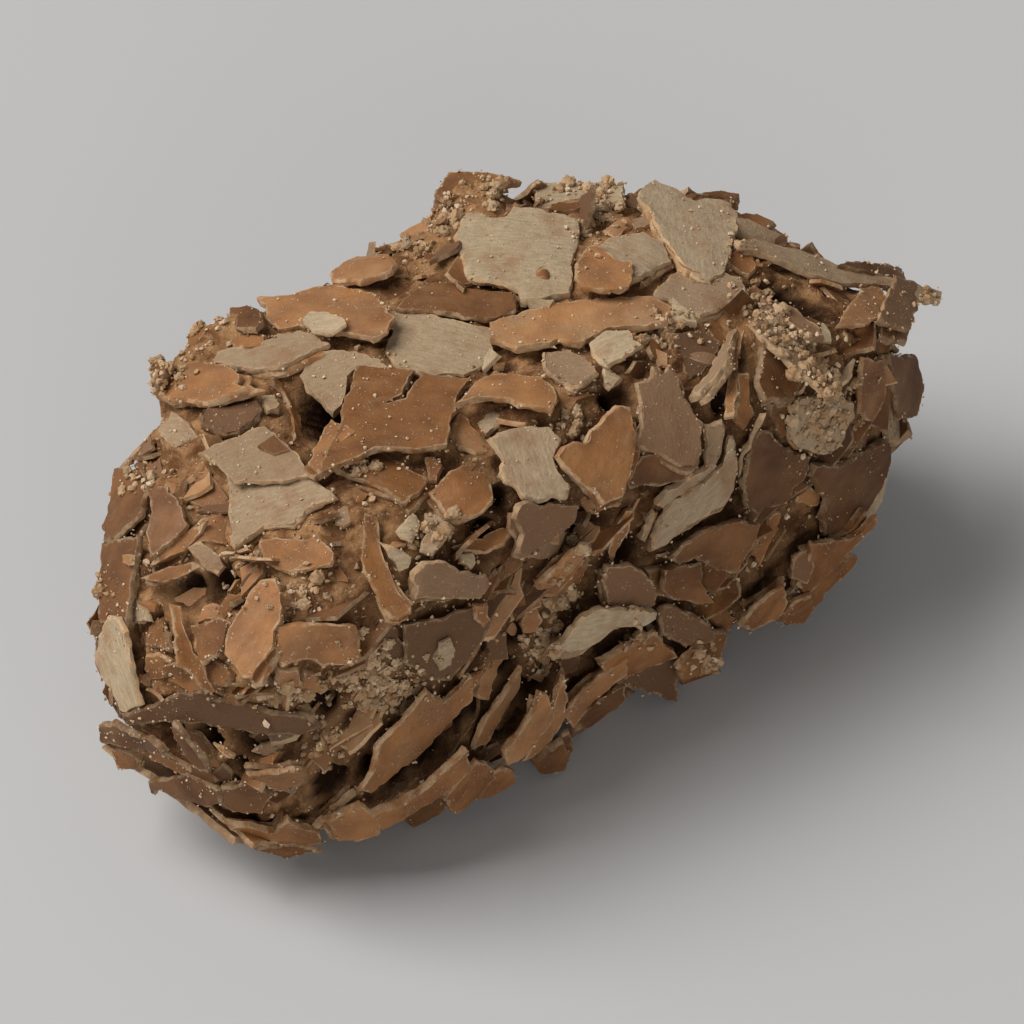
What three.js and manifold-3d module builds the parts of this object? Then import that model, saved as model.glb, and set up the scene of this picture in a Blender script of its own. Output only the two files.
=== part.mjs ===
// A chocolate truffle: a slab-cut bar of filling, enrobed in milk chocolate and rolled in
// chocolate flakes, so that it is a knobbly rounded log bristling with thin broken plates.
// Millimetres, +Z up, +X along the log. The origin is under its middle, on the surface it rests on.
import * as THREE from "three";
import { mergeVertices } from "three/addons/utils/BufferGeometryUtils.js";
import Module from "manifold-3d";

// The bed is the log out to the level where its flakes lie: a rounded box with blunt ends, bowed
// a little, so that its ends stand forward of its middle.
const bed = { length: 39.6, width: 19.2, height: 17.7, endPower: 2.64, sidePower: 4.6, bow: 2.3, facets: 6 };
const middle = [-0.6, -0.6, 8.7];
const bedGrain = 0.22;

// The flakes: broken plates of one thickness, each resting on those laid before it.
const flakeThickness = 0.45;
const highestRise = 1.6;
const settle = 0.65;
const standOff = 0.15;
const leastFacing = 0.42;
const jag = 0.16;
const seed = 41;

// The side that was arranged by eye is described as it looks from here, in degrees, with the
// middle of the bed seen this far right of and above the middle of the view.
const sight = { turn: 39, elevation: 41, distance: 450, middle: [-1.25, 0.5] };

// Hollows and swellings of the bed as [right, up, rise, spread], seen from that side.
const swellings = [
  [-9.0, 4.4, -2.2, 1.5],
  [-13.0, -9.3, -0.9, 2.4],
  [0.4, -4.4, -1.0, 2.0],
  [3.4, -0.4, -0.9, 1.5],
  [10.2, 7.4, -1.0, 1.2],
  [-3.0, 13.2, 0.7, 2.6],
  [-1.0, -8.4, -0.7, 2.2],
];

// Flakes on that side as [right, up, long, wide, heading, lean, taper]: where the middle lies, the
// size and the turn of the long side as seen, how far it is tipped about it, and how it widens.
const arrangedFlakes = [
  [-16.9, 0.8, 4.8, 1.7, 72, 0, 0.2],
  [-17.4, -3.0, 4.0, 1.4, 82, 0, 0.1],
  [-15.4, 0.0, 3.2, 1.7, 60, 0, -0.2],
  [-14.4, 7.6, 3.6, 1.2, 30, 0, 0.1],
  [-3.0, -5.6, 4.6, 3.4, 42, 8, 0.1],
  [-13.3, -8.8, 7.6, 1.8, 4, 0, 0.2],
  [1.2, -0.8, 3.4, 1.8, 28, 0, 0.1],
  [8.0, -3.1, 3.8, 1.9, 12, 0, 0.1],
  [5.5, -3.0, 2.5, 1.7, 0, 0, 0],
  [7.9, -4.8, 3.7, 1.9, -24, 8, 0.1],
  [6.0, -6.9, 3.2, 1.9, -18, 0, 0],
  [14.5, 1.1, 5.2, 3.0, 40, 0, 0.1],
  [11.5, 2.3, 3.4, 2.9, -52, 0, 0.2],
  [16.6, 5.2, 4.6, 1.3, 78, 0, 0],
  [-3.2, 7.6, 5.2, 2.4, -14, 0, 0.1],
  [0.3, 11.8, 5.8, 3.4, -3, 0, 0.06],
  [8.1, 9.7, 4.2, 2.4, -15, 0, 0.1],
  [-2.4, 9.2, 5.4, 1.6, -6, -6, 0.1],
  [-10.9, 7.3, 4.8, 1.4, 14, 0, 0.1],
  [-8.4, 9.1, 6.2, 1.8, 6, 0, -0.1],
  [-2.2, 14.0, 4.2, 1.1, 5, 30, -0.3],
  [3.0, 14.0, 4.2, 1.0, 0, 10, 0],
  [11.3, 12.5, 2.7, 0.9, -30, 20, 0],
  [-12.0, 4.3, 3.4, 1.0, 12, 0, 0],
  [-15.2, 3.6, 2.0, 1.6, -12, 0, 0],
  [-7.8, 6.1, 3.8, 2.2, 20, 0, 0.35],
  [-5.3, 1.1, 3.8, 1.4, -20, 12, 0.1],
  [-2.2, 1.0, 2.6, 1.8, 20, 0, 0.2],
  [6.3, 1.9, 3.0, 1.0, -12, 0, 0],
  [8.8, -1.3, 5.2, 1.7, 18, 0, 0.1],
  [2.3, -2.9, 3.6, 1.5, 34, -20, 0],
  [12.9, -2.6, 5.8, 1.6, 50, -15, 0],
  [13.1, -2.2, 5.2, 1.5, 52, -25, 0],
  [12.8, -2.2, 2.4, 0.9, 60, 20, 0],
  [11.0, -4.4, 2.6, 1.4, 35, 0, 0],
  [12.6, -4.4, 1.9, 1.0, 28, -20, 0],
  [8.6, -6.6, 3.0, 1.2, 68, -15, 0],
  [7.7, -6.3, 1.8, 1.1, 28, 0, 0.2],
  [5.2, -6.1, 3.4, 1.3, 24, -20, 0],
  [3.7, -7.7, 4.0, 1.5, 38, -25, 0],
  [3.7, -8.5, 2.6, 1.3, 30, 0, 0],
  [2.0, -9.4, 4.4, 1.6, 47, -25, 0],
  [1.6, -10.5, 2.2, 1.4, 30, 0, 0],
  [-0.1, -7.5, 4.3, 1.6, 67, -25, 0],
  [0.3, -9.9, 3.4, 1.6, 50, -25, 0],
  [-1.1, -11.4, 3.0, 1.4, 24, -20, 0],
  [-2.0, -10.9, 4.6, 1.6, 42, -25, 0],
  [-3.9, -12.2, 5.8, 1.5, 28, -15, 0.1],
  [-11.8, -12.6, 2.4, 1.7, -10, 0, 0.1],
  [-16.5, -9.9, 3.0, 1.4, -28, 0, 0.2],
  [-14.2, -11.6, 3.6, 1.2, -14, 10, -0.3],
  [-12.3, 3.0, 3.4, 1.6, 25, 0, 0.1],
  [-13.3, 5.7, 4.6, 1.7, 14, 0, 0.1],
  [-11.0, 1.0, 4.8, 2.7, 20, 0, -0.1],
  [-4.8, 4.5, 4.9, 3.4, -2, 6, 0.1],
  [-7.9, 2.4, 2.4, 1.0, 55, 0, 0.2],
  [5.6, 11.6, 3.0, 2.0, -20, 0, 0],
  [8.0, 12.4, 3.9, 2.8, 98, 0, 0.6],
  [4.1, 10.9, 2.5, 1.8, -28, 0, 0.1],
  [3.3, 8.8, 7.4, 1.8, 3, 4, 0.1],
  [-6.5, 10.5, 3.4, 1.1, 8, 0, 0.1],
  [2.6, 6.3, 3.4, 1.1, -4, 0, 0.1],
  [4.9, 7.2, 2.6, 1.5, 20, 0, 0.1],
  [-0.5, 5.2, 4.8, 1.3, -4, 10, 0.1],
  [0.8, 2.3, 3.5, 3.0, -72, 0, 0.1],
  [6.9, 4.2, 3.9, 2.6, -80, 0, -0.1],
  [4.1, 2.6, 4.4, 2.9, 68, 0, 0.25],
  [11.7, 6.2, 3.0, 2.2, -58, 10, 0.3],
  [12.6, 7.6, 5.8, 1.4, -40, 15, 0],
  [13.8, 4.4, 2.6, 2.0, 60, 0, 0],
  [16.3, 5.3, 2.8, 1.2, 86, 10, 0],
  [9.0, 6.4, 4.0, 0.8, 58, 55, 0],
  [9.0, 3.2, 3.0, 1.0, 75, 20, 0],
  [8.3, 0.5, 5.8, 1.5, 45, 20, 0.1],
  [13.7, 10.3, 9.0, 1.5, -13, 0, -0.1],
  [16.0, 10.8, 3.4, 0.9, -3, 20, 0],
  [17.5, 9.0, 2.2, 1.4, 70, 0, 0],
  [-10.0, 4.4, 3.4, 0.7, -68, 60, 0],
  [-9.6, -1.8, 3.4, 1.1, -8, 8, 0.1],
  [-6.4, -1.2, 2.8, 1.1, -72, 10, 0],
  [-2.9, -3.2, 4.4, 1.4, -8, 0, 0],
  [-14.2, -1.9, 4.9, 1.4, 33, -20, 0.1],
  [-14.8, -3.0, 3.4, 1.2, 14, -20, 0],
  [-13.2, -5.4, 2.4, 1.9, -10, 0, 0],
  [-11.2, -5.2, 4.4, 1.9, 62, 0, 0.1],
  [-8.4, -5.6, 4.1, 1.6, -3, 0, -0.1],
  [-14.4, -5.4, 4.4, 0.8, -70, 50, 0],
  [-17.0, -6.9, 4.8, 1.9, -70, 0, 0.1],
  [-13.4, -11.0, 3.8, 1.2, -35, -15, 0],
  [-10.2, -11.9, 3.2, 1.2, 4, -20, 0],
  [-8.2, -11.0, 2.8, 1.5, 38, 0, 0.1],
  [-7.5, -12.7, 3.8, 1.4, 38, -20, 0],
  [-9.8, -13.6, 5.0, 1.5, -7, -12, 0],
  [-5.8, -13.0, 3.8, 1.3, 18, -10, 0],
  [-3.8, -9.6, 7.2, 1.7, 43, -5, 0.1],
  [4.3, -5.1, 4.6, 1.4, 18, 0, 0.3],
];

// The other sides carry flakes of this size range, spread evenly.
const scattered = { count: 112, long: [3.6, 7.6], wide: [1.7, 3.6], lean: 24, facing: -0.06 };

const wasm = await Module();
wasm.setup();

// A repeatable run of numbers from 0 to 1.
function randomRun(start) {
  let state = start >>> 0;
  return () => {
    state = (Math.imul(state, 1664525) + 1013904223) >>> 0;
    return state / 4294967296;
  };
}

const core = new THREE.Vector3(...middle);
const turn = THREE.MathUtils.degToRad(sight.turn);
const elevation = THREE.MathUtils.degToRad(sight.elevation);
const away = new THREE.Vector3(Math.sin(turn), Math.cos(turn), 0);
const seenRight = new THREE.Vector3(Math.cos(turn), -Math.sin(turn), 0);
const seenUp = away.clone().multiplyScalar(Math.sin(elevation));
seenUp.z = Math.cos(elevation);
const towardsEye = away.clone().multiplyScalar(-Math.cos(elevation));
towardsEye.z = Math.sin(elevation);
const seenMiddle = core.clone().addScaledVector(seenRight, -sight.middle[0]);
seenMiddle.addScaledVector(seenUp, -sight.middle[1]);
const eye = seenMiddle.clone().addScaledVector(towardsEye, sight.distance);

// How far the plain rounded box reaches from its middle in a direction.
function boxReach(direction) {
  const across = (2 * Math.abs(direction.y)) / bed.width;
  const upright = (2 * Math.abs(direction.z)) / bed.height;
  const section = across ** bed.sidePower + upright ** bed.sidePower;
  const along = (2 * Math.abs(direction.x)) / bed.length;
  return (section ** (bed.endPower / bed.sidePower) + along ** bed.endPower) ** (-1 / bed.endPower);
}

// How far back the bow sets the log at a place along it.
function setBack(along) {
  return bed.bow * (0.3 - ((2 * along) / bed.length) ** 2);
}

// From the straight log about its own middle to the bowed log in place, and back.
function bowed(offset) {
  return new THREE.Vector3(offset.x, offset.y + setBack(offset.x), offset.z).add(core);
}

function straightened(point) {
  const offset = point.clone().sub(core);
  offset.y -= setBack(offset.x);
  return offset;
}

// Where a sight line through a place in the view meets a surface, or passes nearest to it.
function landOn(reach, right, up) {
  const start = seenMiddle.clone().addScaledVector(seenRight, right).addScaledVector(seenUp, up);
  const line = eye.clone().sub(start).normalize();
  let nearest = null;
  let least = Infinity;
  for (let step = 30; step > -30 && least > 0; step -= 0.1) {
    const offset = straightened(start.clone().addScaledVector(line, step));
    const distance = offset.length();
    const height = distance - reach(offset.divideScalar(distance));
    if (height < least) {
      least = height;
      nearest = offset.multiplyScalar(distance + Math.min(0, standOff - height));
    }
  }
  return { at: bowed(nearest), line };
}

const swells = swellings.map(([right, up, rise, spread]) => {
  return { at: straightened(landOn(boxReach, right, up).at), rise, spread };
});

// The bed: the rounded box with its swellings.
function bedReach(direction) {
  const reach = boxReach(direction);
  const offset = direction.clone().multiplyScalar(reach);
  return swells.reduce(
    (sum, { at, rise, spread }) => sum + rise * Math.exp(-at.distanceToSquared(offset) / spread ** 2),
    reach,
  );
}

function bedPoint(direction) {
  return bowed(direction.clone().multiplyScalar(bedReach(direction)));
}

// The way out of the bed near a point, measured over the size of a flake.
function bedNormal(point, span = 1.6) {
  const offset = straightened(point);
  const outward = offset.clone().normalize();
  const side = new THREE.Vector3(0, 0, 1).cross(outward);
  if (side.lengthSq() < 0.01) side.set(1, 0, 0);
  side.normalize();
  const other = outward.clone().cross(side);
  const near = (first, second) => {
    const aim = offset.clone().addScaledVector(side, first).addScaledVector(other, second);
    return bedPoint(aim.normalize());
  };
  const alongSide = near(span, 0).sub(near(-span, 0));
  const alongOther = near(0, span).sub(near(0, -span));
  return alongSide.cross(alongOther).normalize();
}

function toSolid(geometry) {
  geometry.deleteAttribute("normal");
  geometry.deleteAttribute("uv");
  const merged = mergeVertices(geometry, 1e-4);
  return new wasm.Manifold(
    new wasm.Mesh({
      numProp: 3,
      vertProperties: merged.attributes.position.array,
      triVerts: new Uint32Array(merged.index.array),
    }),
  );
}

function toGeometry(solid) {
  const mesh = solid.getMesh();
  const geometry = new THREE.BufferGeometry();
  geometry.setAttribute("position", new THREE.BufferAttribute(mesh.vertProperties, 3));
  geometry.setIndex(new THREE.BufferAttribute(mesh.triVerts, 1));
  return geometry;
}

function bedSolid() {
  const geometry = new THREE.IcosahedronGeometry(1, bed.facets);
  const positions = geometry.attributes.position;
  const stretch = new THREE.Vector3(bed.length, bed.width, bed.height);
  const vertex = new THREE.Vector3();
  for (let i = 0; i < positions.count; i++) {
    vertex.fromBufferAttribute(positions, i).multiply(stretch).normalize();
    const point = bedPoint(vertex);
    const grain = Math.sin(2.3 * point.x) * Math.sin(2.1 * point.y + 1) + Math.sin(1.9 * point.z + point.x);
    point.addScaledVector(vertex, bedGrain * grain);
    positions.setXYZ(i, point.x, point.y, point.z);
  }
  return toSolid(geometry);
}

// A direction turned towards a line of sight just far enough to face it by the least amount.
function turnTowards(direction, line) {
  const facing = direction.dot(line);
  if (facing >= leastFacing) return direction;
  const across = direction.addScaledVector(line, -facing).normalize();
  return across.multiplyScalar(Math.sqrt(1 - leastFacing ** 2)).addScaledVector(line, leastFacing);
}

// Where a flake lies and how it is turned: its middle, its own axes and its corners on its own plane.
function layFlake(look, pose, laid) {
  const { at, normal, line, right, up } = pose;
  const heading = THREE.MathUtils.degToRad(look.heading);
  const headed = right.clone().multiplyScalar(Math.cos(heading)).addScaledVector(up, Math.sin(heading));
  const level = headed.clone().addScaledVector(normal, -headed.dot(normal)).normalize();
  const face = turnTowards(normal.clone().applyAxisAngle(level, THREE.MathUtils.degToRad(-look.lean)), line);
  const facing = face.dot(line);
  const slide = (vector) => vector.clone().addScaledVector(line, -vector.dot(face) / facing);
  const longSide = slide(headed);
  const wideSide = slide(line.clone().cross(headed));
  const u = longSide.clone().normalize();
  const w = longSide.clone().cross(wideSide).normalize();
  const v = w.clone().cross(u);
  const corners = flakeOutline(look).map(([a, b]) => {
    const corner = longSide.clone().multiplyScalar(a).addScaledVector(wideSide, b);
    return new THREE.Vector2(corner.dot(u), corner.dot(v));
  });
  const rise = restingRise(at, normal, corners, u, v, laid);
  const centre = at.clone().addScaledVector(normal, rise);
  return { centre, u, v, w, corners };
}

// The flake's outline, along and across its heading: a tapered plate with its corners and edges broken.
function flakeOutline({ long, wide, taper, chips }) {
  const broken = () => (chips() - 0.5) * 2 * jag;
  const start = (wide / 2) * (1 - taper);
  const end = (wide / 2) * (1 + taper);
  return [
    [-long / 2, -start],
    [long * (0.1 + broken()), -(start + end) / 2],
    [long / 2, -end],
    [long * (0.5 - chips() * jag), end],
    [-long * (0.1 + broken()), (start + end) / 2],
    [-long / 2, start * (1 - chips() * jag)],
  ].map(([a, b]) => [a, b + wide * broken() * 0.35]);
}

// How far a flake is lifted by the flakes already under it.
function restingRise(at, normal, corners, u, v, laid) {
  let rise = 0;
  const samples = [new THREE.Vector2(), ...corners.map((c) => c.clone().multiplyScalar(0.7))];
  for (const sample of samples) {
    const point = at.clone().addScaledVector(u, sample.x).addScaledVector(v, sample.y);
    for (const under of laid) {
      const offset = point.clone().sub(under.centre);
      const slope = normal.dot(under.w);
      if (slope < 0.7 || !covers(under.corners, offset.dot(under.u), offset.dot(under.v))) continue;
      const lift = (flakeThickness - offset.dot(under.w)) / slope;
      if (lift > rise && lift < highestRise) rise = lift;
    }
  }
  return rise * settle;
}

// Whether an outline holds a point of its own plane.
function covers(corners, x, y) {
  let inside = false;
  corners.forEach((a, i) => {
    const b = corners[(i + 1) % corners.length];
    if (a.y > y !== b.y > y && x < a.x + ((b.x - a.x) * (y - a.y)) / (b.y - a.y)) inside = !inside;
  });
  return inside;
}

function flakeSolid({ centre, u, v, w, corners }) {
  const plate = new THREE.ExtrudeGeometry(new THREE.Shape(corners), {
    depth: flakeThickness,
    bevelEnabled: false,
  });
  plate.translate(0, 0, -flakeThickness / 2);
  plate.applyMatrix4(new THREE.Matrix4().makeBasis(u, v, w).setPosition(centre));
  return toSolid(plate.index ? plate.toNonIndexed() : plate);
}

function arrange(laid) {
  const chips = randomRun(seed);
  for (const [right, up, long, wide, heading, lean, taper] of arrangedFlakes) {
    const { at, line } = landOn(bedReach, right, up);
    const pose = { at, normal: bedNormal(at), line, right: seenRight, up: seenUp };
    laid.push(layFlake({ long, wide, heading, lean, taper, chips }, pose, laid));
  }
}

// Evenly spread directions, skipping those that the arranged side already covers.
function scatter(laid) {
  const chance = randomRun(seed + 1);
  const between = ([low, high]) => low + (high - low) * chance() ** 1.5;
  const goldenAngle = Math.PI * (3 - Math.sqrt(5));
  for (let i = 0; i < scattered.count; i++) {
    const level = 1 - (2 * i + 1) / scattered.count;
    const ring = Math.sqrt(1 - level * level);
    const direction = new THREE.Vector3(
      level * bed.length,
      Math.cos(i * goldenAngle) * ring * bed.width,
      Math.sin(i * goldenAngle) * ring * bed.height,
    ).normalize();
    const look = {
      long: between(scattered.long),
      wide: between(scattered.wide),
      heading: chance() * 360,
      lean: (chance() - 0.5) * 2 * scattered.lean,
      taper: (chance() - 0.5) * 0.7,
      chips: chance,
    };
    const at = bedPoint(direction);
    const normal = bedNormal(at);
    if (normal.dot(towardsEye) > scattered.facing) continue;
    const right = new THREE.Vector3(0, 0, 1).cross(normal);
    if (right.lengthSq() < 0.01) right.set(1, 0, 0);
    right.normalize();
    const up = normal.clone().cross(right);
    laid.push(layFlake(look, { at, normal, line: normal, right, up }, laid));
  }
}

// Everything below the surface that the truffle rests on is pressed away.
function pressFlat(solid) {
  const depth = 10;
  const ground = new THREE.BoxGeometry(3 * bed.length, 3 * bed.length, depth);
  ground.translate(0, 0, -depth / 2);
  return solid.subtract(toSolid(ground));
}

// The largest closed body, without scraps or sealed hollows.
function wholeBody(solid) {
  return solid.decompose().reduce((best, body) => (body.volume() > best.volume() ? body : best));
}

const laid = [];
scatter(laid);
arrange(laid);
const fused = laid.reduce((sum, flake) => sum.add(flakeSolid(flake)), bedSolid());
const truffle = new THREE.Mesh(
  toGeometry(wholeBody(pressFlat(fused))),
  new THREE.MeshStandardMaterial({ color: 0x8a6344, roughness: 0.75, metalness: 0 }),
);
truffle.name = "truffle";

const group = new THREE.Group();
group.add(truffle);
export default group;
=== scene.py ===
# Chocolate truffle: a milk chocolate coating under broken flakes, with crumbs and dust on them.
# Lengths are in millimetres until a piece is put together, and in metres in the finished pieces.
import math
import random

import bmesh
import bpy
import numpy as np
from mathutils import Matrix, Vector, noise
from mathutils.bvhtree import BVHTree


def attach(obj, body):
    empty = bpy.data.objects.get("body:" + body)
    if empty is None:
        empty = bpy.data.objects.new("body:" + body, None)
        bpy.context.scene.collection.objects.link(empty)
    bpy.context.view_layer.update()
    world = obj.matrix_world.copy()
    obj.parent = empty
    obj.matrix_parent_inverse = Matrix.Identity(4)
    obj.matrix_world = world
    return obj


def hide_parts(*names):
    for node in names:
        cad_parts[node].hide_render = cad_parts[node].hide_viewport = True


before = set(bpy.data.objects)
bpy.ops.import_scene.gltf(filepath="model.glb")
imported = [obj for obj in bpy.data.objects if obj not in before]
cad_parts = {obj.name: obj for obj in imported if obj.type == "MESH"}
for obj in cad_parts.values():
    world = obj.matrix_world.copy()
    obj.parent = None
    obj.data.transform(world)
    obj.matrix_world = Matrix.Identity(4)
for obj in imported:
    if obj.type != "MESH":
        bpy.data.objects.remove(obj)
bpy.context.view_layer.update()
print("truffle: frame loaded")

mm = 0.001

# the bed is the log out to the level where its flakes lie
bed = {
    "length": 39.6,
    "width": 19.2,
    "height": 17.7,
    "endPower": 2.64,
    "sidePower": 4.6,
    "bow": 2.3,
    "middle": Vector((-0.6, -0.6, 8.7)),
}

# the photograph's view of it: degrees, distance, where the bed's middle is seen and how wide the view is
sight = {"turn": 39, "elevation": 41, "distance": 450, "middle": (-1.25, 0.5), "width": 45.33}

# hollows and swellings of the bed as seen: right, up, rise, spread
swellings = [
    (-9.0, 4.4, -2.2, 1.5),
    (-13.0, -9.3, -0.9, 2.4),
    (0.4, -4.4, -1.0, 2.0),
    (3.4, -0.4, -0.9, 1.5),
    (10.2, 7.4, -1.0, 1.2),
    (-3.0, 13.2, 0.7, 2.6),
    (-1.0, -8.4, -0.7, 2.2),
]

turn = math.radians(sight["turn"])
elevation = math.radians(sight["elevation"])
away = Vector((math.sin(turn), math.cos(turn), 0))
seenRight = Vector((math.cos(turn), -math.sin(turn), 0))
seenUp = away * math.sin(elevation) + Vector((0, 0, math.cos(elevation)))
towardsEye = Vector((0, 0, math.sin(elevation))) - away * math.cos(elevation)
seenMiddle = bed["middle"] - seenRight * sight["middle"][0] - seenUp * sight["middle"][1]
eye = seenMiddle + towardsEye * sight["distance"]


def boxReach(direction):
    # how far the plain rounded box reaches from its middle
    across = 2 * abs(direction.y) / bed["width"]
    upright = 2 * abs(direction.z) / bed["height"]
    along = 2 * abs(direction.x) / bed["length"]
    section = across ** bed["sidePower"] + upright ** bed["sidePower"]
    total = section ** (bed["endPower"] / bed["sidePower"]) + along ** bed["endPower"]
    return total ** (-1 / bed["endPower"])


def setBack(along):
    return bed["bow"] * (0.3 - (2 * along / bed["length"]) ** 2)


def bowed(offset):
    return Vector((offset.x, offset.y + setBack(offset.x), offset.z)) + bed["middle"]


def straightened(point):
    offset = point - bed["middle"]
    offset.y -= setBack(offset.x)
    return offset


def landOn(reach, right, up, standOff=0.15):
    # where a sight line through a place in the view meets a surface, or passes nearest to it
    start = seenMiddle + seenRight * right + seenUp * up
    line = (eye - start).normalized()
    nearest, least, step = None, math.inf, 30.0
    while step > -30 and least > 0:
        offset = straightened(start + line * step)
        distance = offset.length
        height = distance - reach(offset / distance)
        if height < least:
            least = height
            nearest = offset * ((distance + min(0, standOff - height)) / distance)
        step -= 0.1
    return bowed(nearest), line


swells = [(straightened(landOn(boxReach, right, up)[0]), rise, spread) for right, up, rise, spread in swellings]


def bedReach(direction):
    reach = boxReach(direction)
    offset = direction * reach
    return reach + sum(rise * math.exp(-(at - offset).length_squared / spread**2) for at, rise, spread in swells)


def bedPoint(direction):
    return bowed(direction * bedReach(direction))


def bedNormal(point, span=1.6):
    # the way out of the bed, measured over the size of a flake
    offset = straightened(point)
    outward = offset.normalized()
    side = Vector((0, 0, 1)).cross(outward)
    if side.length_squared < 0.01:
        side = Vector((1, 0, 0))
    side.normalize()
    other = outward.cross(side)

    def near(first, second):
        return bedPoint((offset + side * first + other * second).normalized())

    return (near(span, 0) - near(-span, 0)).cross(near(0, span) - near(0, -span)).normalized()


def evenDirections(count, start=0.5):
    # directions spread evenly over the log by the golden angle
    goldenAngle = math.pi * (3 - math.sqrt(5))
    for i in range(count):
        level = 1 - 2 * (i + start) / count
        ring = math.sqrt(1 - level * level)
        around = i * goldenAngle
        yield Vector(
            (level * bed["length"], math.cos(around) * ring * bed["width"], math.sin(around) * ring * bed["height"])
        ).normalized()


# ---- the flakes' places, the same as in the solid

flakes = {"thickness": 0.45, "highestRise": 1.6, "settle": 0.65, "leastFacing": 0.42, "jag": 0.16, "seed": 41}
scattered = {"count": 112, "long": (3.6, 7.6), "wide": (1.7, 3.6), "lean": 24, "facing": -0.06}

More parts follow.
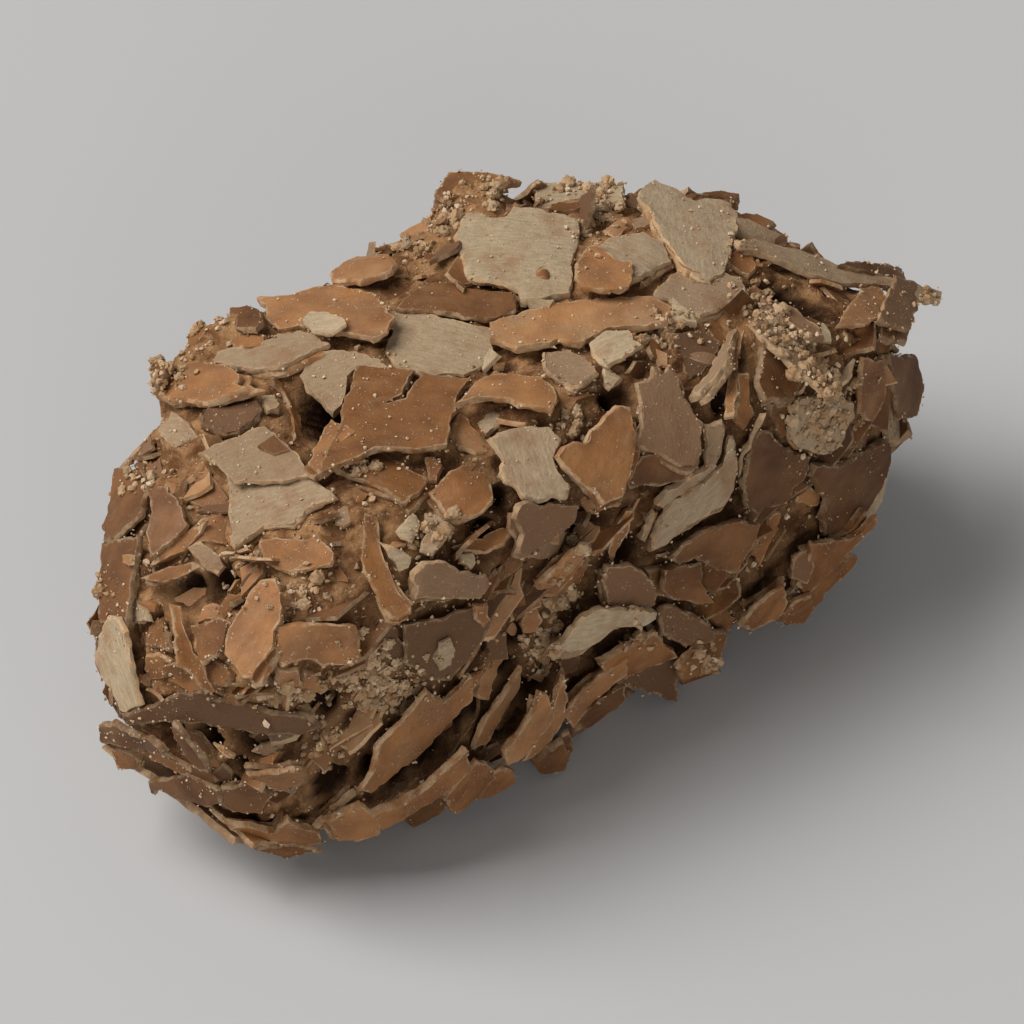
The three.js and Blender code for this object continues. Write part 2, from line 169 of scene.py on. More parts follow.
# right, up, long, wide, heading, lean, taper, side, tone: as seen, with the side that lies outward
# and its tone from -1, dark, to 1, light: the flake's own colour, with painted shade for the flakes
# that lie in shadow, under the ledge at the low end and on the right side
arrangedFlakes = [
    (-16.9, 0.8, 4.8, 1.7, 72, 0, 0.2, "smooth", -0.55),
    (-17.4, -3.0, 4.0, 1.4, 82, 0, 0.1, "smooth", -0.5),
    (-15.4, 0.0, 3.2, 1.7, 60, 0, -0.2, "smooth", -0.4),
    (-14.4, 7.6, 3.6, 1.2, 30, 0, 0.1, "smooth", -0.3),
    (-3.0, -5.6, 4.6, 3.4, 42, 8, 0.1, "rough", -0.6),
    (-13.3, -8.8, 7.6, 1.8, 4, 0, 0.2, "rough", -1.0),
    (1.2, -0.8, 3.4, 1.8, 28, 0, 0.1, "rough", -0.1),
    (8.0, -3.1, 3.8, 1.9, 12, 0, 0.1, "smooth", -0.4),
    (5.5, -3.0, 2.5, 1.7, 0, 0, 0, "rough", -0.2),
    (7.9, -4.8, 3.7, 1.9, -24, 8, 0.1, "rough", -0.4),
    (6.0, -6.9, 3.2, 1.9, -18, 0, 0, "rough", -0.6),
    (14.5, 1.1, 5.2, 3.0, 40, 0, 0.1, "smooth", -0.9),
    (11.5, 2.3, 3.4, 2.9, -52, 0, 0.2, "smooth", -1.0),
    (16.6, 5.2, 4.6, 1.3, 78, 0, 0, "smooth", -0.7),
    (-3.2, 7.6, 5.2, 2.4, -14, 0, 0.1, "rough", 0.28),
    (0.3, 11.8, 5.8, 3.4, -3, 0, 0.06, "rough", 0.42),
    (8.1, 9.7, 4.2, 2.4, -15, 0, 0.1, "rough", 0.15),
    (-2.4, 9.2, 5.4, 1.6, -6, -6, 0.1, "smooth", -0.45),
    (-10.9, 7.3, 4.8, 1.4, 14, 0, 0.1, "rough", 0.2),
    (-8.4, 9.1, 6.2, 1.8, 6, 0, -0.1, "smooth", 0.2),
    (-2.2, 14.0, 4.2, 1.1, 5, 30, -0.3, "smooth", -0.2),
    (3.0, 14.0, 4.2, 1.0, 0, 10, 0, "rough", 0.4),
    (11.3, 12.5, 2.7, 0.9, -30, 20, 0, "smooth", -0.2),
    (-12.0, 4.3, 3.4, 1.0, 12, 0, 0, "rough", -0.4),
    (-15.2, 3.6, 2.0, 1.6, -12, 0, 0, "rough", 0.2),
    (-7.8, 6.1, 3.8, 2.2, 20, 0, 0.35, "rough", 0.2),
    (-5.3, 1.1, 3.8, 1.4, -20, 12, 0.1, "smooth", -0.4),
    (-2.2, 1.0, 2.6, 1.8, 20, 0, 0.2, "smooth", 0.0),
    (6.3, 1.9, 3.0, 1.0, -12, 0, 0, "smooth", -0.6),
    (8.8, -1.3, 5.2, 1.7, 18, 0, 0.1, "smooth", -0.4),
    (2.3, -2.9, 3.6, 1.5, 34, -20, 0, "smooth", 0.2),
    (12.9, -2.6, 5.8, 1.6, 50, -15, 0, "smooth", -0.1),
    (13.1, -2.2, 5.2, 1.5, 52, -25, 0, "smooth", -0.1),
    (12.8, -2.2, 2.4, 0.9, 60, 20, 0, "rough", -0.2),
    (11.0, -4.4, 2.6, 1.4, 35, 0, 0, "smooth", 0.0),
    (12.6, -4.4, 1.9, 1.0, 28, -20, 0, "smooth", 0.0),
    (8.6, -6.6, 3.0, 1.2, 68, -15, 0, "smooth", -0.3),
    (7.7, -6.3, 1.8, 1.1, 28, 0, 0.2, "smooth", -0.1),
    (5.2, -6.1, 3.4, 1.3, 24, -20, 0, "smooth", -0.1),
    (3.7, -7.7, 4.0, 1.5, 38, -25, 0, "smooth", 0.2),
    (3.7, -8.5, 2.6, 1.3, 30, 0, 0, "smooth", -0.9),
    (2.0, -9.4, 4.4, 1.6, 47, -25, 0, "smooth", 0.2),
    (1.6, -10.5, 2.2, 1.4, 30, 0, 0, "smooth", -0.5),
    (-0.1, -7.5, 4.3, 1.6, 67, -25, 0, "smooth", 0.4),
    (0.3, -9.9, 3.4, 1.6, 50, -25, 0, "smooth", 0.3),
    (-1.1, -11.4, 3.0, 1.4, 24, -20, 0, "smooth", 0.0),
    (-2.0, -10.9, 4.6, 1.6, 42, -25, 0, "smooth", 0.0),
    (-3.9, -12.2, 5.8, 1.5, 28, -15, 0.1, "smooth", 0.0),
    (-11.8, -12.6, 2.4, 1.7, -10, 0, 0.1, "smooth", -0.9),
    (-16.5, -9.9, 3.0, 1.4, -28, 0, 0.2, "smooth", -0.9),
    (-14.2, -11.6, 3.6, 1.2, -14, 10, -0.3, "smooth", -0.8),
    (-12.3, 3.0, 3.4, 1.6, 25, 0, 0.1, "rough", 0.15),
    (-13.3, 5.7, 4.6, 1.7, 14, 0, 0.1, "smooth", 0.15),
    (-11.0, 1.0, 4.8, 2.7, 20, 0, -0.1, "rough", 0.25),
    (-4.8, 4.5, 4.9, 3.4, -2, 6, 0.1, "smooth", -0.25),
    (-7.9, 2.4, 2.4, 1.0, 55, 0, 0.2, "smooth", 0.1),
    (5.6, 11.6, 3.0, 2.0, -20, 0, 0, "rough", 0.3),
    (8.0, 12.4, 3.9, 2.8, 98, 0, 0.6, "rough", 0.36),
    (4.1, 10.9, 2.5, 1.8, -28, 0, 0.1, "smooth", 0.2),
    (3.3, 8.8, 7.4, 1.8, 3, 4, 0.1, "smooth", 0.4),
    (-6.5, 10.5, 3.4, 1.1, 8, 0, 0.1, "smooth", 0.35),
    (2.6, 6.3, 3.4, 1.1, -4, 0, 0.1, "rough", 0.1),
    (4.9, 7.2, 2.6, 1.5, 20, 0, 0.1, "rough", 0.6),
    (-0.5, 5.2, 4.8, 1.3, -4, 10, 0.1, "smooth", 0.2),
    (0.8, 2.3, 3.5, 3.0, -72, 0, 0.1, "rough", 0.32),
    (6.9, 4.2, 3.9, 2.6, -80, 0, -0.1, "rough", -0.05),
    (4.1, 2.6, 4.4, 2.9, 68, 0, 0.25, "smooth", 0.15),
    (11.7, 6.2, 3.0, 2.2, -58, 10, 0.3, "smooth", -0.7),
    (12.6, 7.6, 5.8, 1.4, -40, 15, 0, "rough", 0.1),
    (13.8, 4.4, 2.6, 2.0, 60, 0, 0, "rough", 0.3),
    (16.3, 5.3, 2.8, 1.2, 86, 10, 0, "smooth", -0.2),
    (9.0, 6.4, 4.0, 0.8, 58, 55, 0, "rough", 0.1),
    (9.0, 3.2, 3.0, 1.0, 75, 20, 0, "rough", 0.1),
    (8.3, 0.5, 5.8, 1.5, 45, 20, 0.1, "rough", 0.3),
    (13.7, 10.3, 9.0, 1.5, -13, 0, -0.1, "rough", 0.2),
    (16.0, 10.8, 3.4, 0.9, -3, 20, 0, "smooth", -0.6),
    (17.5, 9.0, 2.2, 1.4, 70, 0, 0, "rough", -0.1),
    (-10.0, 4.4, 3.4, 0.7, -68, 60, 0, "smooth", -0.2),
    (-9.6, -1.8, 3.4, 1.1, -8, 8, 0.1, "smooth", 0.1),
    (-6.4, -1.2, 2.8, 1.1, -72, 10, 0, "smooth", -0.2),
    (-2.9, -3.2, 4.4, 1.4, -8, 0, 0, "rough", 0.0),
    (-14.2, -1.9, 4.9, 1.4, 33, -20, 0.1, "smooth", 0.1),
    (-14.8, -3.0, 3.4, 1.2, 14, -20, 0, "smooth", -0.3),
    (-13.2, -5.4, 2.4, 1.9, -10, 0, 0, "smooth", -0.3),
    (-11.2, -5.2, 4.4, 1.9, 62, 0, 0.1, "smooth", 0.15),
    (-8.4, -5.6, 4.1, 1.6, -3, 0, -0.1, "smooth", 0.15),
    (-14.4, -5.4, 4.4, 0.8, -70, 50, 0, "smooth", 0.0),
    (-17.0, -6.9, 4.8, 1.9, -70, 0, 0.1, "rough", 0.6),
    (-13.4, -11.0, 3.8, 1.2, -35, -15, 0, "smooth", -0.9),
    (-10.2, -11.9, 3.2, 1.2, 4, -20, 0, "smooth", -0.3),
    (-8.2, -11.0, 2.8, 1.5, 38, 0, 0.1, "smooth", -0.5),
    (-7.5, -12.7, 3.8, 1.4, 38, -20, 0, "smooth", 0.0),
    (-9.8, -13.6, 5.0, 1.5, -7, -12, 0, "smooth", 0.0),
    (-5.8, -13.0, 3.8, 1.3, 18, -10, 0, "smooth", 0.1),
    (-3.8, -9.6, 7.2, 1.7, 43, -5, 0.1, "smooth", 0.2),
    (4.3, -5.1, 4.6, 1.4, 18, 0, 0.3, "rough", 0.6),
]


def randomRun(start):
    # the solid's own repeatable run of numbers from 0 to 1
    state = start

    def draw():
        nonlocal state
        state = (state * 1664525 + 1013904223) & 0xFFFFFFFF
        return state / 4294967296

    return draw


def flakeOutline(look):
    # a tapered plate with its corners and edges broken, along and across its heading
    long, wide, chips, jag = look["long"], look["wide"], look["chips"], flakes["jag"]

    def broken():
        return (chips() - 0.5) * 2 * jag

    start = wide / 2 * (1 - look["taper"])
    end = wide / 2 * (1 + look["taper"])
    corners = [
        (-long / 2, -start),
        (long * (0.1 + broken()), -(start + end) / 2),
        (long / 2, -end),
        (long * (0.5 - chips() * jag), end),
        (-long * (0.1 + broken()), (start + end) / 2),
        (-long / 2, start * (1 - chips() * jag)),
    ]
    return [(a, b + wide * broken() * 0.35) for a, b in corners]


def covers(corners, x, y):
    inside = False
    for a, b in zip(corners, corners[1:] + corners[:1]):
        if (a[1] > y) != (b[1] > y) and x < a[0] + (b[0] - a[0]) * (y - a[1]) / (b[1] - a[1]):
            inside = not inside
    return inside


def turnTowards(direction, line):
    facing = direction.dot(line)
    least = flakes["leastFacing"]
    if facing >= least:
        return direction
    across = (direction - line * facing).normalized()
    return across * math.sqrt(1 - least**2) + line * least


def restingRise(at, normal, corners, u, v, laid):
    # how far a flake is lifted by the flakes already under it
    rise = 0
    for x, y in [(0, 0)] + [(a * 0.7, b * 0.7) for a, b in corners]:
        point = at + u * x + v * y
        for under in laid:
            offset = point - under["centre"]
            slope = normal.dot(under["w"])
            if slope < 0.7 or not covers(under["corners"], offset.dot(under["u"]), offset.dot(under["v"])):
                continue
            lift = (flakes["thickness"] - offset.dot(under["w"])) / slope
            if rise < lift < flakes["highestRise"]:
                rise = lift
    return rise * flakes["settle"]


def layFlake(look, at, normal, line, right, up, laid):
    heading = math.radians(look["heading"])
    headed = right * math.cos(heading) + up * math.sin(heading)
    level = (headed - normal * headed.dot(normal)).normalized()
    tipped = Matrix.Rotation(math.radians(-look["lean"]), 3, level) @ normal
    face = turnTowards(tipped, line)
    facing = face.dot(line)

    def slide(vector):
        return vector - line * (vector.dot(face) / facing)

    longSide = slide(headed)
    wideSide = slide(line.cross(headed))
    u = longSide.normalized()
    w = longSide.cross(wideSide).normalized()
    v = w.cross(u)
    corners = []
    for a, b in flakeOutline(look):
        corner = longSide * a + wideSide * b
        corners.append((corner.dot(u), corner.dot(v)))
    centre = at + normal * restingRise(at, normal, corners, u, v, laid)
    laid.append(
        {"centre": centre, "u": u, "v": v, "w": w, "corners": corners, "side": look["side"], "tone": look["tone"]}
    )


laid = []
chance = randomRun(flakes["seed"] + 1)
sides = random.Random(7)
for direction in evenDirections(scattered["count"]):
    look = {
        "long": scattered["long"][0] + (scattered["long"][1] - scattered["long"][0]) * chance() ** 1.5,
        "wide": scattered["wide"][0] + (scattered["wide"][1] - scattered["wide"][0]) * chance() ** 1.5,
        "heading": chance() * 360,
        "lean": (chance() - 0.5) * 2 * scattered["lean"],
        "taper": (chance() - 0.5) * 0.7,
        "chips": chance,
        "side": sides.choice(["rough", "smooth", "smooth"]),
        "tone": sides.uniform(-0.6, 0.4),
    }
    at = bedPoint(direction)
    normal = bedNormal(at)
    if normal.dot(towardsEye) > scattered["facing"]:
        continue
    right = Vector((0, 0, 1)).cross(normal)
    if right.length_squared < 0.01:
        right = Vector((1, 0, 0))
    right.normalize()
    layFlake(look, at, normal, normal, right, normal.cross(right), laid)

chips = randomRun(flakes["seed"])
for right, up, long, wide, heading, lean, taper, side, tone in arrangedFlakes:
    at, line = landOn(bedReach, right, up)
    look = {"long": long, "wide": wide, "heading": heading, "lean": lean, "taper": taper, "chips": chips}
    look.update(side=side, tone=tone)
    layFlake(look, at, bedNormal(at), line, seenRight, seenUp, laid)
print(f"truffle: {len(laid)} large flakes laid")


# ---- shapes: small meshes kept as arrays, so that copies of them are joined quickly


def keepShape(bm):
    mesh = bpy.data.meshes.new("shape")
    bm.to_mesh(mesh)
    bm.free()
    rimAndPaintedShade = np.zeros(len(mesh.vertices), "f")
    if "rimAndPaintedShade" in mesh.attributes:
        mesh.attributes["rimAndPaintedShade"].data.foreach_get("value", rimAndPaintedShade)
    coords = np.empty(3 * len(mesh.vertices), "f")
    mesh.vertices.foreach_get("co", coords)
    loops = np.empty(len(mesh.loops), "i")
    mesh.loops.foreach_get("vertex_index", loops)
    starts = np.empty(len(mesh.polygons), "i")
    mesh.polygons.foreach_get("loop_start", starts)
    bpy.data.meshes.remove(mesh)
    return {"coords": coords.reshape(-1, 3), "loops": loops, "starts": starts, "rimAndPaintedShade": rimAndPaintedShade}


def joinShapes(name, copies, material, sharpAngle=40):
    # copies holds a shape, its 4 by 4 matrix and its tone for each
    coords, loops, starts, rims, tones, flats = [], [], [], [], [], []
    vertexCount, loopCount = 0, 0
    shifts = random.Random(3)
    for shape, matrix, tone in copies:
        matrix = np.array(matrix)
        placed = shape["coords"] @ matrix[:3, :3].T + matrix[:3, 3]
        placed[:, 2] = np.maximum(placed[:, 2], 0)
        coords.append(placed * mm)
        flat = shape["coords"][:, :2] * np.linalg.norm(matrix[:3, :2], axis=0)
        flat = flat + (shifts.uniform(0, 200), shifts.uniform(0, 200))
        flats.append(flat[shape["loops"]])
        loops.append(shape["loops"] + vertexCount)
        starts.append(shape["starts"] + loopCount)
        rims.append(shape["rimAndPaintedShade"])
        tones.append(np.full(len(placed), tone, "f"))
        vertexCount += len(placed)
        loopCount += len(shape["loops"])
    starts = np.concatenate(starts)
    mesh = bpy.data.meshes.new(name)
    mesh.vertices.add(vertexCount)
    mesh.vertices.foreach_set("co", np.concatenate(coords).ravel().astype("f"))
    mesh.loops.add(loopCount)
    mesh.loops.foreach_set("vertex_index", np.concatenate(loops))
    mesh.polygons.add(len(starts))
    mesh.polygons.foreach_set("loop_start", starts)
    mesh.update(calc_edges=True)
    mesh.attributes.new("tone", "FLOAT", "POINT").data.foreach_set("value", np.concatenate(tones))
    mesh.attributes.new("rimAndPaintedShade", "FLOAT", "POINT").data.foreach_set("value", np.concatenate(rims))
    mesh.uv_layers.new(name="plate").data.foreach_set("uv", np.concatenate(flats).ravel().astype("f"))
    mesh.polygons.foreach_set("use_smooth", np.ones(len(starts), bool))
    mesh.set_sharp_from_angle(angle=math.radians(sharpAngle))
    mesh.validate()
    return addPiece(name, mesh, material)


def addPiece(name, mesh, material):
    mesh.materials.append(material)
    piece = bpy.data.objects.new(name, mesh)
    bpy.context.scene.collection.objects.link(piece)
    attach(piece, "root")
    return piece


def rawEdges(corners, chance, pitch, depth):
    # an outline with its straight sides broken into short uneven steps
    raw = []
    for a, b in zip(corners, corners[1:] + corners[:1]):
        start, end = Vector(a), Vector(b)
        length = (end - start).length
        across = Vector((end.y - start.y, start.x - end.x)) / max(length, 1e-6)
        raw.append(start)
        steps = int(length / pitch)
        for i in range(1, steps):
            along = (i + chance.uniform(-0.35, 0.35)) / steps
            raw.append(start.lerp(end, along) + across * chance.uniform(-depth, depth))
    return [(p.x, p.y) for p in raw]


def nearestOnOutline(corners, point):
    best, found = math.inf, point
    for a, b in zip(corners, corners[1:] + corners[:1]):
        start, side = Vector(a), Vector(b) - Vector(a)
        along = max(0, min(1, (point - start).dot(side) / max(side.length_squared, 1e-9)))
        onSide = start + side * along
        gap = (point - onSide).length_squared
        if gap < best:
            best, found = gap, onSide
    return found


def dropPinches(bm):
    # a cell that meets the rest of the flake at one corner alone would leave a pinched edge
    while True:
        pinched = [vert for vert in bm.verts if sum(edge.is_boundary for edge in vert.link_edges) > 2]
        if not pinched:
            return
        loosest = min(pinched[0].link_faces, key=lambda face: sum(not edge.is_boundary for edge in face.edges))
        bmesh.ops.delete(bm, geom=[loosest], context="FACES")


# how a large flake is broken: lengths in millimetres
plate = {"thick": (0.22, 0.36), "pitch": 0.4, "depth": 0.09, "curl": 0.25, "waves": 0.07, "slant": 0.14, "nicks": 0.07}


def plateShape(corners, chance, cell):
    # one broken flake lying in its own plane, with its rim marked
    thickness = chance.uniform(*plate["thick"])
    points = [Vector(corner) for corner in corners]
    corners = rawEdges(corners, chance, plate["pitch"], plate["depth"])
    lowX, highX = min(c[0] for c in corners), max(c[0] for c in corners)
    lowY, highY = min(c[1] for c in corners), max(c[1] for c in corners)
    spanX, spanY = highX - lowX, highY - lowY
    bm = bmesh.new()
    rimAndShadeLayer = bm.verts.layers.float.new("rimAndPaintedShade")
    bmesh.ops.create_grid(bm, x_segments=max(3, round(spanX / cell)), y_segments=max(3, round(spanY / cell)), size=0.5)
    bmesh.ops.scale(bm, vec=(spanX, spanY, 1), verts=bm.verts)
    bmesh.ops.translate(bm, vec=((lowX + highX) / 2, (lowY + highY) / 2, 0), verts=bm.verts)
    centres = {face: face.calc_center_median() for face in bm.faces}
    outside = [face for face, c in centres.items() if not covers(corners, c.x, c.y)]
    bmesh.ops.delete(bm, geom=outside, context="FACES")
    dropPinches(bm)
    for vert in bm.verts:
        if vert.is_boundary:
            spot = nearestOnOutline(corners, vert.co.xy)
            vert.co = (spot.x, spot.y, 0)
            vert[rimAndShadeLayer] = 1
    edge = [vert for vert in bm.verts if vert.is_boundary]
    for point in points:
        nearest = min(edge, key=lambda vert: (vert.co.xy - point).length_squared)
        if (nearest.co.xy - point).length < cell * 1.5:
            nearest.co = (point.x, point.y, 0)
    grown = bmesh.ops.extrude_face_region(bm, geom=bm.faces[:])
    upper = [item for item in grown["geom"] if isinstance(item, bmesh.types.BMVert)]
    bmesh.ops.translate(bm, vec=(0, 0, thickness), verts=upper)
    sides = [face for face in bm.faces if len({round(v.co.z, 4) for v in face.verts}) > 1]
    around = list({edge for face in sides for edge in face.edges}) + sides
    bmesh.ops.bisect_plane(bm, geom=around, dist=1e-5, plane_co=(0, 0, thickness * 0.55), plane_no=(0, 0, 1))
    bmesh.ops.recalc_face_normals(bm, faces=bm.faces)
    middle = Vector(((lowX + highX) / 2, (lowY + highY) / 2))
    drift = Vector([chance.uniform(-50, 50) for _ in range(3)])
    bendAcross = chance.uniform(-0.5, 0.5)
    reach = max(spanX, spanY) / 2
    curl = plate["curl"] * chance.uniform(-0.4, 1)
    slant = plate["slant"] * chance.uniform(-0.6, 1)
    for vert in bm.verts:
        x, y, level = vert.co.x, vert.co.y, vert.co.z / thickness - 0.5
        if vert[rimAndShadeLayer] > 0.5:
            inward = (middle - vert.co.xy).normalized()
            step = slant * (level + 0.5) + plate["nicks"] * (1 + noise.noise(vert.co * 3.1 + drift)) * abs(level) * 2
            vert.co.xy += inward * step
        bend = -curl * ((x / reach) ** 2 + bendAcross * (x * y) / reach**2)
        wave = plate["waves"] * noise.noise(Vector((x, y, 0)) * 0.9 + drift)
        vert.co.z += bend + wave - thickness / 2
        rough = noise.noise_vector(vert.co * 2.6 + drift)
        vert.co += rough * (plate["nicks"] if vert[rimAndShadeLayer] > 0.5 else 0.018)
    return keepShape(bm)


# ---- camera, floor and lights

studio = {
    "keySize": 0.55,
    "keyDistance": 0.8,
    "keyPower": 7.4,
    "keyFrom": seenUp * 0.64 - seenRight * 0.66 + towardsEye * 0.52,
    "fillPower": 2.3,
    "fillFrom": seenRight * 0.2 - away * 0.9 + Vector((0, 0, 0.22)),
    "sky": (1.0, 0.99, 0.97),
    "skyStrength": 0.2,
    "floorSize": 3.0,
    "floorColor": (0.49, 0.493, 0.5, 1),
}


def placeCamera():
    data = bpy.data.cameras.new("camera")
    data.sensor_width = 36
    data.lens = 36 * sight["distance"] / sight["width"]
    data.clip_start, data.clip_end = 0.02, 20
    camera = bpy.data.objects.new("camera", data)
    bpy.context.scene.collection.objects.link(camera)
    facing = Matrix((seenRight, seenUp, towardsEye)).transposed().to_4x4()
    camera.matrix_world = Matrix.Translation(eye * mm) @ facing
    bpy.context.scene.camera = camera


def addLight(name, direction, distance, size, power, color):
    data = bpy.data.lights.new(name, "AREA")
    data.size, data.energy, data.color = size, power, color
    light = bpy.data.objects.new(name, data)
    bpy.context.scene.collection.objects.link(light)
    direction = direction.normalized()
    light.location = seenMiddle * mm + direction * distance
    light.rotation_mode = "QUATERNION"
    light.rotation_quaternion = direction.to_track_quat("Z", "Y")


def addFloor():
    bm = bmesh.new()
    bmesh.ops.create_grid(bm, x_segments=1, y_segments=1, size=studio["floorSize"])
    mesh = bpy.data.meshes.new("floor")
    bm.to_mesh(mesh)
    bm.free()
    material = bpy.data.materials.new("paleFloor")
    material.use_nodes = True
    shader = material.node_tree.nodes["Principled BSDF"]
    shader.inputs["Base Color"].default_value = studio["floorColor"]
    shader.inputs["Roughness"].default_value = 0.7
    mesh.materials.append(material)
    floor = bpy.data.objects.new("floor", mesh)
    bpy.context.scene.collection.objects.link(floor)


placeCamera()
addFloor()
addLight("keyLight", studio["keyFrom"], studio["keyDistance"], studio["keySize"], studio["keyPower"], (1, 0.98, 0.95))
addLight("lowFill", studio["fillFrom"], studio["keyDistance"], studio["keySize"], studio["fillPower"], (1, 0.98, 0.95))
sky = bpy.data.worlds.new("sky")
sky.use_nodes = True
sky.node_tree.nodes["Background"].inputs["Color"].default_value = (*studio["sky"], 1)
sky.node_tree.nodes["Background"].inputs["Strength"].default_value = studio["skyStrength"]
bpy.context.scene.world = sky
bpy.context.scene.view_settings.view_transform = "Standard"
print("truffle: camera, floor and light placed")


# ---- finishes


class Finish:
    # a node material whose patterns are measured in millimetres

    def __init__(self, name):
        self.material = bpy.data.materials.new(name)
        self.material.use_nodes = True
        self.tree = self.material.node_tree
        self.shader = self.tree.nodes["Principled BSDF"]
        place = self.node("ShaderNodeTexCoord").outputs["Object"]
        self.place = self.node("ShaderNodeVectorMath", {0: place, "Scale": 1000.0}, operation="SCALE").outputs[0]

    def node(self, kind, inputs=None, **settings):
        made = self.tree.nodes.new(kind)
        for key, value in settings.items():
            setattr(made, key, value)
        for key, value in (inputs or {}).items():
            if isinstance(value, bpy.types.NodeSocket):
                self.tree.links.new(value, made.inputs[key])
            else:
                made.inputs[key].default_value = value
        return made

    def attribute(self, name):
        return self.node("ShaderNodeAttribute", attribute_name=name).outputs["Fac"]

    def math(self, operation, first, second):
        return self.node("ShaderNodeMath", {0: first, 1: second}, operation=operation).outputs[0]

    def noise(self, scale, detail=2.0, roughness=0.5, vector=None, distortion=0.0):
        inputs = {"Vector": vector or self.place, "Scale": scale, "Detail": detail}
        inputs.update({"Roughness": roughness, "Distortion": distortion})
        return self.node("ShaderNodeTexNoise", inputs).outputs["Fac"]

    def steps(self, value, low, high, first=0.0, last=1.0):
        inputs = {"Value": value, "From Min": low, "From Max": high, "To Min": first, "To Max": last}
        return self.node("ShaderNodeMapRange", inputs, interpolation_type="SMOOTHSTEP").outputs["Result"]

    def mix(self, amount, first, second, blend="MIX"):
        first = first if isinstance(first, bpy.types.NodeSocket) else (*first, 1)
        second = second if isinstance(second, bpy.types.NodeSocket) else (*second, 1)
        inputs = {0: amount, 6: first, 7: second}
        return self.node("ShaderNodeMix", inputs, data_type="RGBA", blend_type=blend).outputs[2]

    def scaled(self, color, amount):
        return self.node("ShaderNodeVectorMath", {0: color, "Scale": amount}, operation="SCALE").outputs[0]

    def stretched(self, vector, scale):
        return self.node("ShaderNodeMapping", {"Vector": vector, "Scale": scale}).outputs[0]

    def bump(self, height, distance, strength=1.0, under=None):
        inputs = {"Height": height, "Distance": distance * mm, "Strength": strength}
        if under is not None:
            inputs["Normal"] = under
        return self.node("ShaderNodeBump", inputs).outputs[0]

    def finish(self, color, roughness, normal, **fixed):
        self.tree.links.new(color, self.shader.inputs["Base Color"])
        self.tree.links.new(roughness, self.shader.inputs["Roughness"])
        self.tree.links.new(normal, self.shader.inputs["Normal"])
        for key, value in fixed.items():
            self.shader.inputs[key].default_value = value
        return self.material


chocolate = {
    "caramel": (0.42, 0.178, 0.055),
    "deepCaramel": (0.24, 0.092, 0.028),
    "dustyCaramel": (0.5, 0.32, 0.175),
    "beige": (0.46, 0.365, 0.24),
    "deepBeige": (0.34, 0.235, 0.135),
    "dullBrown": (0.29, 0.142, 0.068),
    "broken": (0.5, 0.3, 0.15),
    "coatingLight": (0.36, 0.19, 0.085),
    "coatingDark": (0.14, 0.06, 0.025),
    # painted shade, laid into the coating's hollows
    "paintedHollowShade": (0.018, 0.008, 0.004),
    "sand": (0.56, 0.38, 0.22),
    "dust": (0.64, 0.5, 0.35),
}


def toneScale(finish, low, high):
    # how much a flake's tone, from -1 to 1, darkens or lightens it: its own colour, with painted shade in the tones of
    # flakes that lie in shadow
    return finish.steps(finish.attribute("tone"), -1.0, 1.0, low, high)


def brokenRim(f, color):
    # the broken edge is crumbly and lighter than the faces
    uneven = f.steps(f.noise(1.3, 4.0, 0.65), 0.38, 0.62, 0.1, 1.0)
    amount = f.math("MULTIPLY", f.steps(f.attribute("rimAndPaintedShade"), 0.3, 0.9), uneven)
    crumbly = f.mix(f.steps(f.noise(4.0, 3.0, 0.6), 0.3, 0.62), chocolate["broken"], chocolate["sand"])
    return f.mix(amount, color, f.scaled(crumbly, toneScale(f, 0.5, 1.1)))


def dusted(f, color, amount):
    # fine pale grains stuck to a face
    specks = f.steps(f.noise(6.5, 2.0, 0.6), 0.62, 0.68)
    patches = f.steps(f.noise(0.9, 2.0), 0.4, 0.62, 0.25, 1.0)
    patches = f.math("MULTIPLY", patches, f.steps(f.attribute("tone"), -0.9, 0.1, 0.15, 1.0))
    return f.mix(f.math("MULTIPLY", f.math("MULTIPLY", specks, patches), amount), color, chocolate["dust"]), specks


def smoothFlakeFinish():
    f = Finish("smoothFlake")
    plate = f.node("ShaderNodeUVMap", uv_map="plate").outputs[0]
    clouds = f.noise(0.45, 3.0, 0.55)
    color = f.mix(f.steps(clouds, 0.32, 0.68), chocolate["caramel"], chocolate["deepCaramel"])
    streaks = f.noise(0.8, 4.0, 0.65, f.stretched(plate, (0.9, 1.5, 1)))
    color = f.mix(f.steps(streaks, 0.5, 0.75, 0.0, 0.3), color, chocolate["broken"])
    dry = f.math("MULTIPLY", f.steps(f.attribute("tone"), -0.1, 0.8), f.steps(f.noise(0.7, 3.0), 0.35, 0.7, 0.3, 0.85))
    color = f.mix(dry, color, chocolate["dustyCaramel"])
    color = f.scaled(color, toneScale(f, 0.36, 1.14))
    color = brokenRim(f, color)
    color, specks = dusted(f, color, 0.55)
    waves = f.noise(0.5, 2.0, 0.5, f.stretched(plate, (0.6, 1.6, 1)))
    height = f.bump(waves, 0.3, 0.5)
    height = f.bump(f.noise(3.5, 5.0, 0.65), 0.08, 0.6, height)
    height = f.bump(specks, 0.05, 0.7, height)
    roughness = f.steps(clouds, 0.3, 0.7, 0.5, 0.68)
    return f.finish(color, roughness, height, **{"Specular IOR Level": 0.3})


